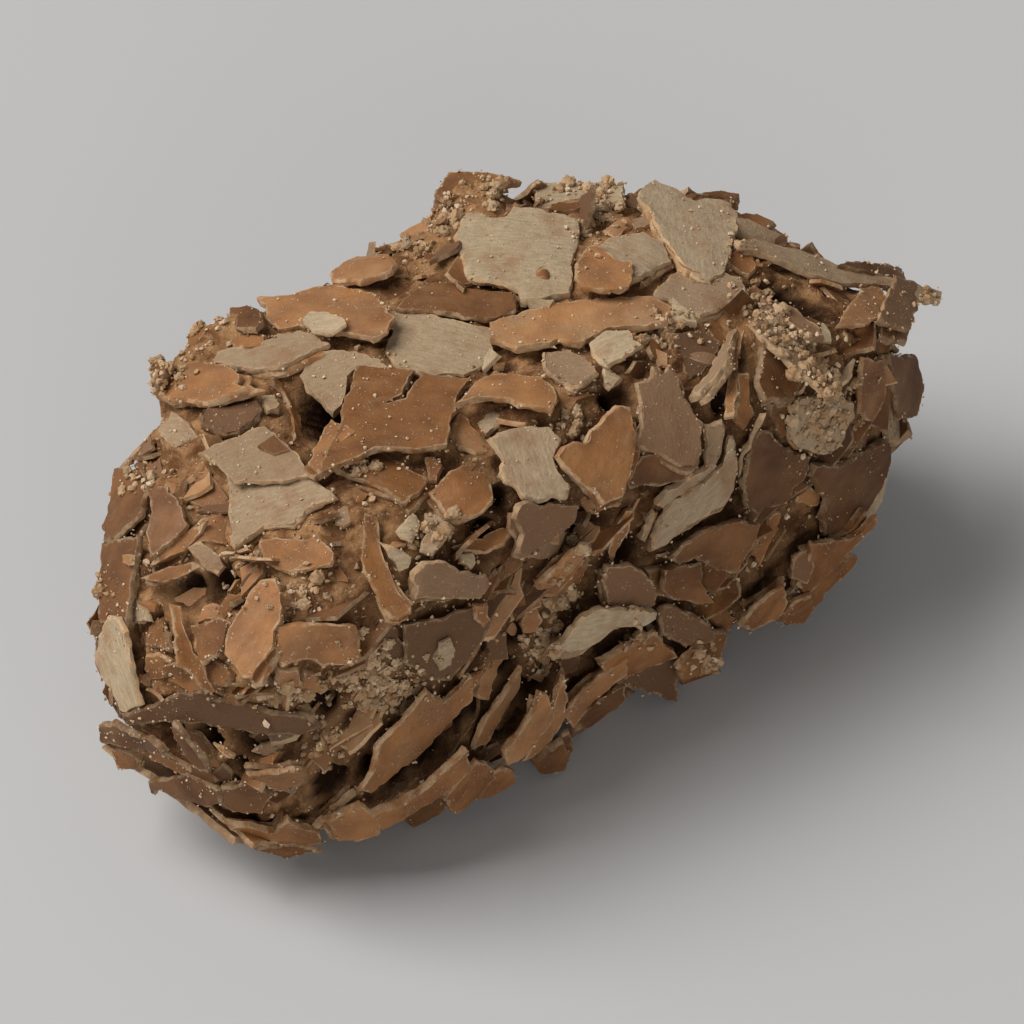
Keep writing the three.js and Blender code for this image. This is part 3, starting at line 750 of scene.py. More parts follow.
def roughFlakeFinish():
    f = Finish("roughFlake")
    plate = f.node("ShaderNodeUVMap", uv_map="plate").outputs[0]
    ribs = f.noise(1.0, 3.0, 0.65, f.stretched(plate, (1.6, 7.0, 1)), 0.3)
    clouds = f.noise(0.6, 3.0, 0.6)
    color = f.mix(f.steps(ribs, 0.3, 0.7, 0.2, 1.0), chocolate["deepBeige"], chocolate["beige"])
    color = f.mix(f.steps(clouds, 0.48, 0.72, 0.0, 0.6), color, chocolate["dullBrown"])
    color = f.mix(f.steps(f.attribute("tone"), -0.25, 0.5, 0.95, 0.0), color, chocolate["dullBrown"])
    color = f.scaled(color, toneScale(f, 0.4, 1.17))
    color = brokenRim(f, color)
    color, specks = dusted(f, color, 0.6)
    height = f.bump(ribs, 0.05, 0.5)
    height = f.bump(f.noise(4.0, 5.0, 0.7), 0.1, 0.65, height)
    height = f.bump(specks, 0.05, 0.7, height)
    roughness = f.steps(clouds, 0.3, 0.7, 0.72, 0.88)
    return f.finish(color, roughness, height, **{"Specular IOR Level": 0.25})


def coatingFinish():
    f = Finish("coating")
    clouds = f.noise(0.8, 4.0, 0.6)
    color = f.mix(f.steps(clouds, 0.35, 0.65), chocolate["coatingDark"], chocolate["coatingLight"])
    film = f.steps(f.noise(2.0, 4.0, 0.65), 0.5, 0.72, 0.0, 0.6)
    color = f.mix(film, color, chocolate["broken"])
    color, specks = dusted(f, color, 0.7)
    # painted shade: near black in the hollows and darker towards the front, read from the rim layer
    color = f.mix(f.attribute("rimAndPaintedShade"), color, chocolate["paintedHollowShade"])
    height = f.bump(f.noise(1.6, 4.0, 0.6), 0.35, 0.7)
    height = f.bump(f.noise(6.0, 4.0, 0.65), 0.08, 0.7, height)
    height = f.bump(specks, 0.06, 0.8, height)
    roughness = f.steps(f.noise(1.3, 2.0), 0.3, 0.7, 0.6, 0.8)
    return f.finish(color, roughness, height, **{"Specular IOR Level": 0.05})


def crumbFinish():
    f = Finish("crumb")
    pick = f.noise(1.5, 3.0, 0.6)
    color = f.mix(f.steps(pick, 0.4, 0.6), chocolate["broken"], chocolate["sand"])
    color = f.mix(f.steps(f.attribute("tone"), 0.0, 1.0), color, chocolate["dust"])
    color = f.scaled(color, toneScale(f, 0.6, 1.1))
    height = f.bump(f.noise(8.0, 4.0, 0.7), 0.08, 0.9)
    roughness = f.steps(pick, 0.3, 0.7, 0.75, 0.9)
    return f.finish(color, roughness, height, **{"Specular IOR Level": 0.25})


smoothFlake, roughFlake = smoothFlakeFinish(), roughFlakeFinish()
coatingChocolate, crumbChocolate = coatingFinish(), crumbFinish()
print("truffle: finishes made")


# ---- coating

coating = {"inset": (0.35, 0.9), "front": (4.0, 9.0), "lumps": 0.55, "lumpSize": 1.3, "grain": 0.16, "grainSize": 0.45}

# hollows sunk in the coating between the flakes, dark from their depth and from painted shade, where nothing small
# lies, as seen: right, up, depth, spread
hollows = [
    (-8.9, 4.6, 2.6, 1.0),
    (-8.5, 3.6, 2.6, 1.0),
    (-8.7, 2.6, 1.6, 0.7),
    (3.6, -0.5, 1.6, 0.7),
    (12.4, 9.9, 2.2, 1.1),
    (13.5, 9.5, 2.0, 1.0),
    (10.5, 7.2, 1.2, 0.5),
    (5.0, 5.2, 1.6, 0.7),
    (-5.6, -12.5, 1.8, 0.6),
    (-4.2, -11.5, 1.8, 0.6),
    (-2.9, -10.3, 1.8, 0.6),
    (-1.6, -9.1, 1.8, 0.6),
    (0.2, -6.2, 1.6, 0.5),
    (-0.5, -7.6, 1.6, 0.5),
    (0.6, -8.6, 1.6, 0.5),
    (-2.2, -7.2, 1.6, 0.6),
    (-1.6, -6.3, 1.6, 0.6),
    (-1.4, -0.9, 1.2, 0.5),
    (-10.4, -10.2, 1.4, 0.6),
    (-7.3, -9.7, 1.2, 0.5),
    (-6.6, -11.8, 1.4, 0.5),
    (1.6, -7.9, 1.4, 0.5),
    (-0.8, -10.9, 1.4, 0.5),
    (2.9, -7.5, 1.2, 0.4),
    (9.0, -3.2, 1.2, 0.5),
    (10.2, 5.3, 1.4, 0.5),
    (-0.6, 0.7, 1.2, 0.5),
    (-15.0, -3.6, 1.4, 0.8),
    (-13.3, -3.4, 1.4, 0.9),
    (-8.9, -9.0, 1.4, 0.7),
    (-15.6, -9.9, 1.4, 0.6),
    (-13.9, -10.3, 1.6, 0.7),
    (-11.8, -10.4, 1.6, 0.8),
    (-15.4, -11.5, 1.2, 0.5),
    (-12.6, -11.6, 1.2, 0.5),
    (-8.6, -12.6, 1.6, 0.7),
    (5.8, -1.8, 1.4, 0.6),
    (11.9, -1.6, 1.4, 0.6),
    (10.4, 0.6, 1.4, 0.6),
]

# where only crumbs lie, and where the small flakes are painted darker as shade, under the ledge at the low end and on
# the right side, as seen: right, up, spread
bare = [(-6.0, -8.0, 1.8), (-3.0, -5.8, 1.9), (-8.2, -9.9, 1.2), (-5.0, -4.6, 1.2), (1.2, 3.0, 1.0), (7.9, -4.6, 1.2),
        (5.3, -3.2, 1.0), (-9.5, -3.8, 1.2), (-12.6, -2.6, 1.0), (12.9, 9.8, 1.8), (14.4, 10.1, 1.0), (11.5, 10.5, 1.0),
        (7.0, 4.0, 1.8), (4.0, 2.6, 1.2), (-4.2, -9.6, 1.2), (-5.4, -10.9, 1.0), (-2.8, -8.3, 1.0)]
paintedShadePlaces = [(-14.0, -11.0, 3.8), (13.5, 1.5, 3.0), (-10.0, -12.5, 3.0), (-16.8, -10.0, 2.0)]
pits = [(straightened(landOn(bedReach, right, up)[0]), depth, spread) for right, up, depth, spread in hollows]


bareSpots, paintedShadeSpots = [
    [(straightened(landOn(bedReach, right, up)[0]), spread) for right, up, spread in places] for places in (bare, paintedShadePlaces)
]


def inPit(point):
    offset = straightened(point)
    return any((pit - offset).length < spread * 1.1 + 0.2 for pit, _, spread in pits)


def within(spots, point):
    offset = straightened(point)
    return any((spot - offset).length < spread for spot, spread in spots)


# where the coating swells out to the flakes that stand at its far edge, as seen: right, up, rise, spread
mounds = [
    (-15.8, 6.2, 1.7, 1.3),
    (-14.0, 7.4, 1.4, 1.3),
    (-12.2, 8.4, 1.3, 1.3),
    (-2.6, 13.9, 1.3, 1.2),
    (-1.0, 14.2, 1.0, 1.0),
    (16.4, 9.6, 0.7, 0.9),
]
raised = [(straightened(landOn(bedReach, right, up)[0]), rise, spread) for right, up, rise, spread in mounds]


def coatingShape():
    bm = bmesh.new()
    rimAndShadeLayer = bm.verts.layers.float.new("rimAndPaintedShade")
    bmesh.ops.create_icosphere(bm, subdivisions=7, radius=1)
    stretch = Vector((bed["length"], bed["width"], bed["height"]))
    for vert in bm.verts:
        direction = (vert.co * stretch).normalized()
        point = bedPoint(direction)
        lump = noise.fractal(point / coating["lumpSize"], 0.8, 2.0, 3) * coating["lumps"]
        grain = noise.fractal(point / coating["grainSize"], 0.9, 2.0, 2) * coating["grain"]
        offset = straightened(point)
        pit = sum(depth * math.exp(-(at - offset).length_squared / spread**2) for at, depth, spread in pits)
        mound = sum(rise * math.exp(-(at - offset).length_squared / spread**2) for at, rise, spread in raised)
        near, far = coating["front"]
        front = max(0, min(1, (-offset.y - near) / (far - near)))
        inset = coating["inset"][0] + (coating["inset"][1] - coating["inset"][0]) * front
        # painted shade kept in the coating's rim layer: full in the hollows, half on the front
        vert[rimAndShadeLayer] = min(1, pit * 1.2 + front * 0.5)
        vert.co = point + direction * (lump + grain + mound - pit - inset)
    return keepShape(bm)


stay = Matrix.Identity(4)
coat = joinShapes("coating", [(coatingShape(), stay, 0)], coatingChocolate, 60)
print("truffle: coating made")


# ---- large flakes

# outlines of the flakes that stand out, as seen: right, up, for the flake laid at the first place
carved = {
    (-16.9, 0.8): [(-17.5, 1.9), (-16.3, 1.9), (-16.0, 1.0), (-16.3, -0.2), (-17.0, -0.9), (-17.7, -1.5),
                   (-18.1, -0.8), (-17.8, 0.5)],
    (-15.4, 0.0): [(-16.2, 1.2), (-15.2, 1.1), (-14.7, 0.3), (-14.3, -0.6), (-15.0, -1.3), (-16.0, -2.0),
                   (-16.2, -1.0), (-15.9, 0.0)],
    (-14.4, 7.6): [(-14.4, 7.9), (-13.6, 8.3), (-13.1, 8.3), (-12.4, 8.1), (-12.3, 7.3), (-13.0, 7.0), (-13.9, 6.9),
                   (-14.4, 7.2)],
    (-3.0, -5.6): [(-4.9, -5.0), (-3.4, -4.7), (-1.8, -4.2), (-0.9, -4.8), (-1.8, -6.4), (-2.8, -7.4), (-3.6, -7.4),
                   (-4.8, -6.6)],
    (-13.3, -8.8): [(-17.4, -9.1), (-16.0, -8.6), (-14.8, -7.9), (-13.8, -7.8), (-13.0, -8.2), (-11.6, -8.4),
                    (-10.5, -8.9), (-9.0, -9.1), (-8.4, -9.6), (-9.3, -9.9), (-11.0, -9.8), (-13.0, -9.6),
                    (-14.8, -9.2), (-16.4, -9.4), (-17.2, -9.5)],
    (1.2, -0.8): [(0.2, 0.4), (0.8, 0.5), (1.2, 0.3), (2.0, 0.5), (2.9, 0.4), (2.8, -0.3), (2.1, -1.0), (1.3, -1.6),
                  (0.5, -2.0), (0.1, -1.9), (0.3, -1.0), (0.0, -0.3)],
    (8.0, -3.1): [(6.5, -2.4), (7.7, -2.2), (8.4, -2.2), (8.5, -3.4), (8.9, -3.9), (8.3, -4.0), (7.2, -3.9),
                  (6.5, -3.4)],
    (5.5, -3.0): [(4.3, -2.5), (5.3, -2.3), (6.1, -2.9), (6.4, -3.6), (6.3, -4.1), (5.2, -4.2), (4.2, -4.1),
                  (4.1, -3.2)],
    (7.9, -4.8): [(6.6, -4.4), (7.2, -4.1), (8.1, -4.5), (8.8, -4.9), (9.0, -5.8), (7.7, -6.0), (6.6, -5.4)],
    (14.5, 1.1): [(13.1, 1.6), (13.4, 2.1), (14.5, 2.2), (15.4, 2.7), (16.4, 3.2), (16.8, 3.1), (16.8, 2.4),
                  (16.5, 1.4), (16.0, 0.5), (15.6, -0.1), (14.9, -0.9), (14.4, -1.2), (13.7, -1.1), (13.6, -0.3),
                  (13.8, 0.5), (13.4, 1.2)],
    (11.5, 2.3): [(10.9, 3.6), (11.4, 3.6), (12.1, 2.9), (13.0, 2.5), (13.3, 2.5), (13.2, 1.6), (12.7, 1.2),
                  (12.5, 0.6), (11.9, 0.3), (11.2, 0.2), (10.9, -0.1), (10.3, 0.2), (10.1, 1.3), (10.4, 2.4)],
    (16.6, 5.2): [(16.6, 7.0), (17.9, 7.0), (18.2, 5.6), (17.8, 4.2), (17.0, 4.0)],
    (-3.2, 7.6): [(-5.3, 8.9), (-3.8, 8.7), (-2.2, 8.3), (-0.9, 8.1), (-0.9, 6.9), (-1.4, 6.4), (-2.1, 6.0),
                  (-4.1, 6.0), (-5.2, 6.5), (-5.6, 7.2), (-5.2, 8.0), (-5.7, 8.8)],
    (0.3, 11.8): [(-2.35, 12.9), (-2.6, 12.3), (-2.3, 11.0), (-2.0, 10.3), (-0.9, 10.1), (-0.2, 9.9), (0.3, 9.7),
                  (0.4, 9.2), (1.5, 9.3), (2.6, 9.6), (2.8, 10.3), (2.8, 11.2), (3.0, 11.7), (3.0, 13.0),
                  (2.1, 13.2), (0.9, 13.4), (0.1, 13.5), (-0.3, 13.0), (-1.0, 13.0), (-1.7, 13.4), (-2.2, 13.3)],
    (8.1, 9.7): [(6.3, 9.8), (7.0, 10.5), (7.9, 10.8), (9.0, 10.6), (10.2, 10.2), (10.4, 9.9), (9.8, 9.3),
                 (9.0, 8.8), (8.3, 8.6), (7.5, 8.9), (6.9, 9.3), (6.2, 9.5)],
    (-2.4, 9.2): [(-5.0, 9.3), (-4.3, 9.9), (-3.5, 10.2), (-2.4, 10.1), (-2.0, 9.9), (0.2, 9.7), (0.3, 8.9),
                  (-0.6, 8.5), (-2.2, 8.5), (-3.6, 8.8), (-5.2, 9.0)],
    (-10.9, 7.3): [(-13.6, 6.9), (-12.3, 7.2), (-11.2, 7.3), (-10.3, 7.8), (-9.3, 8.0), (-8.6, 7.8), (-8.1, 7.5),
                   (-9.0, 7.0), (-9.6, 6.6), (-10.3, 6.3), (-11.4, 6.2), (-12.4, 6.4), (-13.2, 6.6)],
    (-8.4, 9.1): [(-11.3, 9.5), (-10.2, 9.5), (-9.0, 9.8), (-7.9, 9.95), (-6.8, 9.8), (-5.9, 9.4), (-5.2, 8.6),
                  (-5.5, 8.0), (-6.1, 7.6), (-7.0, 7.8), (-8.2, 7.9), (-9.4, 8.2), (-10.3, 8.0), (-10.9, 8.5),
                  (-10.9, 9.1)],
    (-2.2, 14.0): [(-3.4, 13.9), (-2.8, 14.9), (-2.2, 14.95), (0.4, 14.65), (-0.6, 14.4), (-2.2, 13.9), (-3.0, 13.6)],
    (11.3, 12.5): [(10.1, 13.1), (11.0, 12.7), (11.8, 12.4), (12.3, 12.2), (12.2, 11.7), (11.5, 11.8), (10.5, 12.1),
                   (10.1, 12.5)],
    (-12.0, 4.3): [(-13.9, 4.2), (-13.5, 4.6), (-12.5, 4.7), (-11.2, 4.9), (-11.0, 4.5), (-11.3, 3.9), (-12.0, 3.4),
                   (-12.7, 3.3), (-13.8, 3.7)],
    (-15.2, 3.6): [(-15.7, 3.7), (-15.0, 4.5), (-14.3, 4.0), (-14.0, 3.5), (-14.5, 3.2), (-15.0, 2.9), (-15.4, 3.1)],
    (-7.8, 6.1): [(-9.4, 5.9), (-9.3, 6.6), (-8.6, 7.0), (-7.5, 7.1), (-6.5, 7.0), (-5.8, 6.7), (-5.4, 6.3),
                  (-6.9, 6.3), (-7.3, 5.6), (-7.5, 4.6), (-7.9, 4.2), (-8.5, 4.8), (-9.1, 5.3)],
    (-5.3, 1.1): [(-6.3, 2.8), (-5.4, 2.3), (-4.6, 1.8), (-3.9, 1.5), (-3.8, 1.1), (-4.4, 0.6), (-4.9, 0.2),
                  (-5.6, 0.9), (-6.6, 1.3), (-7.8, 1.7), (-7.3, 2.1)],
    (-2.2, 1.0): [(-3.7, 0.9), (-3.0, 1.5), (-2.1, 2.2), (-1.8, 1.8), (-1.2, 1.8), (-0.9, 1.3), (-0.9, 0.4),
                  (-1.2, 0.0), (-2.0, -0.3), (-2.9, -0.2), (-3.3, 0.4)],
    (6.3, 1.9): [(5.1, 1.9), (5.7, 2.5), (6.3, 2.6), (7.2, 2.1), (8.0, 1.9), (7.5, 1.4), (6.4, 1.2), (5.6, 1.2),
                 (5.1, 1.0)],
    (8.8, -1.3): [(6.8, -2.0), (7.4, -1.4), (8.2, -0.9), (9.0, -0.6), (9.9, -0.3), (10.9, -0.4), (10.8, -1.0),
                  (10.3, -1.9), (10.0, -2.6), (9.6, -2.7), (8.6, -2.4), (8.0, -1.9), (7.2, -2.2)],
    (2.3, -2.9): [(1.1, -3.4), (1.9, -2.4), (2.7, -1.8), (3.3, -1.5), (3.5, -1.9), (2.6, -2.6), (1.8, -3.3),
                  (1.2, -3.6)],
    (12.9, -2.6): [(12.2, -4.6), (13.0, -3.4), (13.8, -2.7), (14.9, -1.7), (15.3, -1.9), (14.6, -2.8), (13.8, -3.6),
                   (12.9, -4.6), (12.4, -5.0)],
    (13.1, -2.2): [(12.6, -3.2), (13.0, -2.2), (13.2, -1.3), (14.3, -1.2), (15.2, -0.9), (16.0, 0.0), (15.9, -0.6),
                   (15.0, -1.5), (14.2, -2.4), (13.5, -3.1), (12.9, -3.6)],
    (12.8, -2.2): [(12.3, -2.9), (12.4, -1.9), (13.1, -1.6), (13.3, -2.3), (13.0, -3.1)],
    (11.0, -4.4): [(9.9, -4.9), (10.5, -4.3), (11.3, -3.6), (11.9, -3.2), (12.1, -3.9), (11.6, -4.7), (10.6, -5.1)],
    (12.6, -4.4): [(11.8, -4.6), (12.5, -3.9), (13.3, -3.6), (13.4, -4.2), (12.9, -4.8), (12.0, -5.0)],
    (3.7, -7.7): [(2.2, -8.9), (2.9, -8.0), (3.9, -7.2), (5.0, -6.4), (5.0, -7.1), (4.2, -7.8), (3.3, -8.6),
                  (2.6, -9.4)],
    (3.7, -8.5): [(2.7, -9.3), (3.3, -8.7), (4.3, -8.0), (5.0, -7.6), (4.9, -8.4), (4.2, -8.8), (3.3, -9.5)],
    (2.0, -9.4): [(2.2, -7.2), (2.4, -8.0), (2.3, -9.0), (1.7, -10.0), (0.9, -10.8), (0.4, -11.0), (1.0, -10.0),
                  (1.7, -9.0), (1.9, -7.9)],
    (1.6, -10.5): [(0.8, -11.1), (1.6, -10.4), (2.2, -10.0), (2.6, -10.8), (2.3, -11.4), (1.2, -11.6)],
    (-0.1, -7.5): [(0.4, -6.8), (0.3, -7.6), (-0.2, -8.6), (-0.9, -9.6), (-1.4, -10.3), (-1.9, -10.4), (-1.3, -9.2),
                   (-0.6, -8.3), (0.0, -7.3)],
    (0.3, -9.9): [(1.2, -7.9), (1.6, -8.0), (1.9, -8.9), (1.1, -10.0), (0.3, -10.9), (-0.3, -11.2), (-0.4, -10.5),
                  (0.4, -9.6), (1.0, -8.7)],
    (-1.1, -11.4): [(-2.2, -12.6), (-1.2, -11.8), (-0.5, -11.2), (0.2, -11.5), (0.2, -12.0), (-0.6, -12.4),
                    (-1.6, -12.8)],
    (-2.0, -10.9): [(-3.4, -12.2), (-2.4, -11.2), (-1.8, -10.6), (-1.2, -10.9), (-0.9, -11.4), (-1.8, -12.2),
                    (-2.4, -12.7), (-3.0, -12.9)],
    (-3.9, -12.2): [(-6.3, -13.2), (-5.0, -12.5), (-4.0, -11.8), (-2.9, -10.8), (-2.2, -10.2), (-2.0, -10.9),
                    (-2.9, -11.8), (-4.0, -12.5), (-5.2, -13.4), (-6.0, -14.0)],
    (-11.8, -12.6): [(-12.9, -12.2), (-12.0, -12.0), (-11.0, -12.2), (-10.6, -12.6), (-11.1, -13.3), (-12.3, -13.2),
                     (-12.8, -13.0)],
    (-16.5, -9.9): [(-18.3, -9.4), (-17.5, -9.3), (-16.8, -9.7), (-15.9, -9.9), (-15.2, -10.6), (-16.3, -10.6),
                    (-17.3, -10.3), (-18.2, -10.1)],
    (-14.2, -11.6): [(-16.2, -12.0), (-15.8, -11.8), (-14.9, -11.6), (-14.4, -11.5), (-13.5, -11.9), (-12.9, -12.3),
                     (-12.8, -12.9), (-13.3, -13.1), (-14.4, -12.9), (-15.4, -12.4), (-15.8, -12.3), (-15.9, -12.6),
                     (-16.1, -12.5)],
    (-12.3, 3.0): [(-13.9, 2.6), (-12.4, 3.2), (-10.9, 3.8), (-9.4, 2.5), (-9.0, 1.5), (-10.0, 1.3), (-12.3, 1.2),
                   (-12.9, 1.9)],
    (-13.3, 5.7): [(-15.8, 5.1), (-15.3, 5.9), (-14.6, 6.5), (-13.6, 6.6), (-12.6, 6.4), (-11.9, 6.0), (-12.2, 5.6),
                   (-11.6, 5.4), (-12.4, 5.1), (-13.5, 4.7), (-14.4, 4.8), (-15.4, 4.9)],
    (-11.0, 1.0): [(-12.7, 1.6), (-11.3, 1.9), (-9.9, 1.7), (-8.8, 1.6), (-8.3, 1.1), (-7.6, 0.6), (-8.2, 0.3),
                   (-9.0, -0.1), (-9.6, -0.7), (-10.3, -0.8), (-11.0, -0.8), (-11.6, -1.3), (-12.3, -1.7),
                   (-12.5, -1.4), (-12.6, 0.2)],
    (-4.8, 4.5): [(-6.9, 6.3), (-6.0, 6.45), (-5.2, 6.3), (-4.3, 6.15), (-4.9, 5.1), (-5.7, 4.65), (-4.7, 4.9),
                  (-4.0, 6.05), (-2.9, 5.95), (-1.8, 5.8), (-2.4, 5.1), (-2.5, 4.4), (-2.8, 3.8), (-2.9, 2.9),
                  (-4.3, 2.7), (-6.1, 2.7), (-7.2, 2.2), (-8.6, 1.5), (-8.3, 2.4), (-7.9, 3.2), (-7.5, 3.9),
                  (-7.5, 4.6), (-7.1, 5.4)],
    (5.6, 11.6): [(4.3, 12.1), (5.8, 12.3), (6.6, 11.9), (7.1, 11.1), (6.2, 10.6), (5.2, 10.1), (5.0, 10.9),
                  (4.1, 11.1), (3.9, 11.9)],
    (8.0, 12.4): [(5.5, 13.9), (5.9, 14.5), (6.3, 14.8), (7.0, 14.5), (7.6, 14.1), (8.1, 13.8), (8.9, 13.9),
                  (9.7, 13.7), (10.0, 13.2), (10.0, 12.4), (9.8, 11.9), (9.6, 11.3), (9.5, 10.7), (8.8, 10.3),
                  (8.0, 10.5), (7.3, 11.3), (6.6, 12.1), (6.2, 12.9), (6.0, 13.4)],
    (4.1, 10.9): [(2.8, 10.9), (3.3, 11.6), (3.9, 11.7), (4.6, 11.0), (5.3, 10.9), (5.2, 9.8), (4.2, 9.7),
                  (3.0, 9.9), (2.8, 10.3)],
    (3.3, 8.8): [(-1.0, 8.2), (0.2, 8.6), (1.5, 9.0), (3.0, 9.3), (4.6, 9.4), (6.2, 9.4), (7.1, 8.9), (6.9, 8.3),
                 (5.6, 8.05), (4.3, 8.0), (3.6, 7.7), (3.0, 7.35), (2.0, 7.5), (1.2, 7.3), (0.2, 7.1), (-1.0, 7.5)],
    (-6.5, 10.5): [(-8.1, 10.5), (-7.6, 10.9), (-6.8, 11.2), (-5.4, 11.4), (-5.0, 11.0), (-5.5, 10.5), (-6.7, 10.1),
                   (-7.6, 10.1), (-8.0, 10.2)],
    (2.6, 6.3): [(1.3, 7.0), (2.4, 7.2), (3.3, 6.9), (3.9, 6.0), (2.9, 5.4), (2.0, 5.7), (1.3, 6.3)],
    (4.9, 7.2): [(3.4, 7.5), (4.0, 7.9), (5.2, 8.0), (5.8, 7.3), (5.0, 6.8), (4.2, 6.5), (3.6, 6.9)],
    (-0.5, 5.2): [(-2.5, 4.8), (-2.1, 5.1), (-1.7, 5.6), (-1.0, 6.0), (0.2, 6.0), (1.2, 5.9), (1.8, 5.6),
                  (2.0, 5.0), (1.8, 4.6), (1.0, 4.65), (0.3, 4.7), (-0.1, 4.9), (-0.9, 5.0)],
    (0.8, 2.3): [(-1.1, 3.3), (-0.6, 3.6), (0.2, 3.8), (1.2, 3.9), (1.7, 3.8), (2.3, 3.2), (2.0, 2.6), (1.9, 2.2),
                 (2.2, 1.6), (2.7, 1.1), (2.5, 0.6), (1.9, 0.7), (1.2, 0.4), (0.5, 0.6), (0.0, 1.1), (-0.4, 1.3),
                 (-0.7, 1.6), (-0.5, 2.3), (-0.8, 2.8)],
    (6.9, 4.2): [(5.5, 5.8), (6.0, 5.9), (6.3, 6.6), (6.6, 6.5), (6.7, 6.1), (7.0, 6.6), (7.3, 6.4), (7.6, 5.2),
                 (8.1, 4.4), (8.5, 3.9), (8.4, 3.2), (8.5, 2.6), (8.2, 2.0), (7.6, 1.9), (7.0, 2.2), (6.3, 2.6),
                 (5.5, 2.8), (5.6, 4.2)],
    (4.1, 2.6): [(1.9, 2.4), (2.2, 2.9), (2.6, 3.1), (3.1, 3.0), (3.4, 3.7), (4.1, 4.3), (4.6, 4.8), (5.3, 4.7),
                 (5.5, 3.5), (5.4, 2.2), (5.1, 1.2), (4.9, 0.6), (4.4, 0.4), (4.0, 0.2), (3.7, 0.7), (3.2, 1.0),
                 (2.8, 1.4), (2.2, 1.9)],
    (11.7, 6.2): [(11.0, 7.4), (11.6, 7.2), (12.4, 6.5), (12.9, 5.8), (12.5, 4.9), (11.2, 4.8), (10.7, 5.6)],
    (12.6, 7.6): [(10.5, 8.4), (11.2, 9.0), (12.2, 7.8), (13.0, 6.9), (14.0, 6.0), (14.6, 5.3), (13.8, 5.2),
                  (12.9, 5.9), (12.0, 6.7), (11.2, 7.5)],
    (13.8, 4.4): [(12.5, 5.0), (13.2, 5.2), (14.2, 5.1), (15.1, 4.9), (15.2, 4.3), (14.7, 3.6), (14.4, 2.8),
                  (13.8, 2.5), (13.1, 2.7), (12.5, 2.9), (12.2, 3.5), (12.4, 4.2)],
    (16.3, 5.3): [(15.4, 6.9), (16.3, 6.8), (16.5, 6.0), (16.4, 4.9), (15.9, 4.0), (15.2, 4.4), (15.3, 5.5)],
    (9.0, 6.4): [(7.8, 5.0), (8.3, 5.2), (9.2, 6.0), (9.7, 6.7), (9.9, 8.3), (9.6, 8.3), (9.3, 7.2), (8.7, 6.0)],
    (9.0, 3.2): [(8.4, 3.9), (8.9, 4.0), (9.3, 4.2), (9.5, 3.4), (9.3, 2.6), (9.0, 2.0), (8.5, 1.9), (8.5, 2.8)],
    (8.3, 0.5): [(6.2, -1.85), (6.3, -0.9), (6.7, 0.0), (7.0, 0.6), (7.9, 1.1), (8.8, 1.7), (9.4, 2.2), (9.7, 3.4),
                 (10.0, 3.3), (10.1, 2.2), (9.9, 1.0), (9.5, 0.3), (8.9, 0.0), (8.4, -0.4), (7.4, -1.0), (6.8, -1.6)],
    (13.7, 10.3): [(9.9, 11.8), (10.6, 12.0), (12.0, 11.6), (13.3, 11.3), (14.2, 10.9), (15.6, 10.6), (17.0, 10.1),
                   (18.3, 9.8), (19.0, 9.6), (18.9, 9.2), (17.9, 9.4), (16.6, 9.9), (15.3, 10.0), (14.2, 10.1),
                   (12.8, 10.6), (11.3, 11.2), (10.3, 11.5)],
    (16.0, 10.8): [(14.4, 10.9), (15.0, 11.0), (17.5, 11.0), (17.5, 10.2), (16.6, 10.3), (15.2, 10.6)],
    (-10.0, 4.4): [(-10.6, 6.0), (-10.1, 5.6), (-9.6, 4.9), (-9.3, 3.9), (-9.4, 3.0), (-9.7, 2.8), (-9.7, 3.6),
                   (-9.9, 4.6), (-10.2, 5.3), (-10.8, 5.9)],
    (-9.6, -1.8): [(-11.2, -1.3), (-10.4, -1.2), (-9.3, -1.3), (-8.5, -1.3), (-7.8, -1.9), (-8.0, -2.4),
                   (-8.9, -2.6), (-9.6, -2.7), (-10.4, -2.6), (-11.0, -2.2)],
    (-6.4, -1.2): [(-6.5, -0.1), (-6.0, -0.2), (-5.9, -1.3), (-5.6, -2.2), (-5.2, -3.2), (-4.5, -4.1), (-4.6, -4.6),
                   (-5.2, -4.9), (-5.6, -4.8), (-6.0, -3.6), (-6.6, -2.6), (-6.6, -1.4)],
    (-2.9, -3.2): [(-4.4, -2.7), (-3.9, -2.2), (-3.0, -2.1), (-2.3, -2.6), (-1.0, -2.8), (-0.9, -3.3), (-1.3, -3.9),
                   (-3.0, -3.9), (-4.4, -3.9)],
    (-14.2, -1.9): [(-16.5, -2.8), (-15.7, -1.9), (-14.9, -1.2), (-14.2, -0.7), (-13.4, -0.35), (-13.9, -1.2),
                    (-14.4, -1.8), (-15.3, -2.2)],
    (-14.8, -3.0): [(-16.5, -2.9), (-15.2, -2.4), (-14.2, -2.2), (-13.8, -2.4), (-14.6, -2.9), (-15.6, -3.1)],
    (-13.2, -5.4): [(-14.4, -5.0), (-13.6, -4.8), (-13.0, -4.6), (-12.4, -4.8), (-12.6, -5.9), (-12.9, -6.4),
                    (-13.3, -6.6), (-13.7, -6.9), (-14.1, -6.1)],
    (-11.2, -5.2): [(-12.7, -6.3), (-12.5, -5.2), (-12.2, -4.6), (-11.6, -3.6), (-11.1, -3.0), (-10.4, -2.9),
                    (-10.2, -3.5), (-10.2, -4.8), (-10.5, -5.3), (-10.5, -6.0), (-10.9, -6.5), (-11.3, -7.0),
                    (-11.5, -7.4), (-11.9, -7.4), (-12.2, -6.9)],
    (-8.4, -5.6): [(-10.4, -5.0), (-9.4, -4.9), (-8.0, -4.9), (-6.9, -5.0), (-6.6, -5.4), (-6.6, -6.5),
                   (-7.0, -6.8), (-8.4, -6.9), (-9.3, -6.6), (-10.3, -6.9), (-10.5, -6.2)],
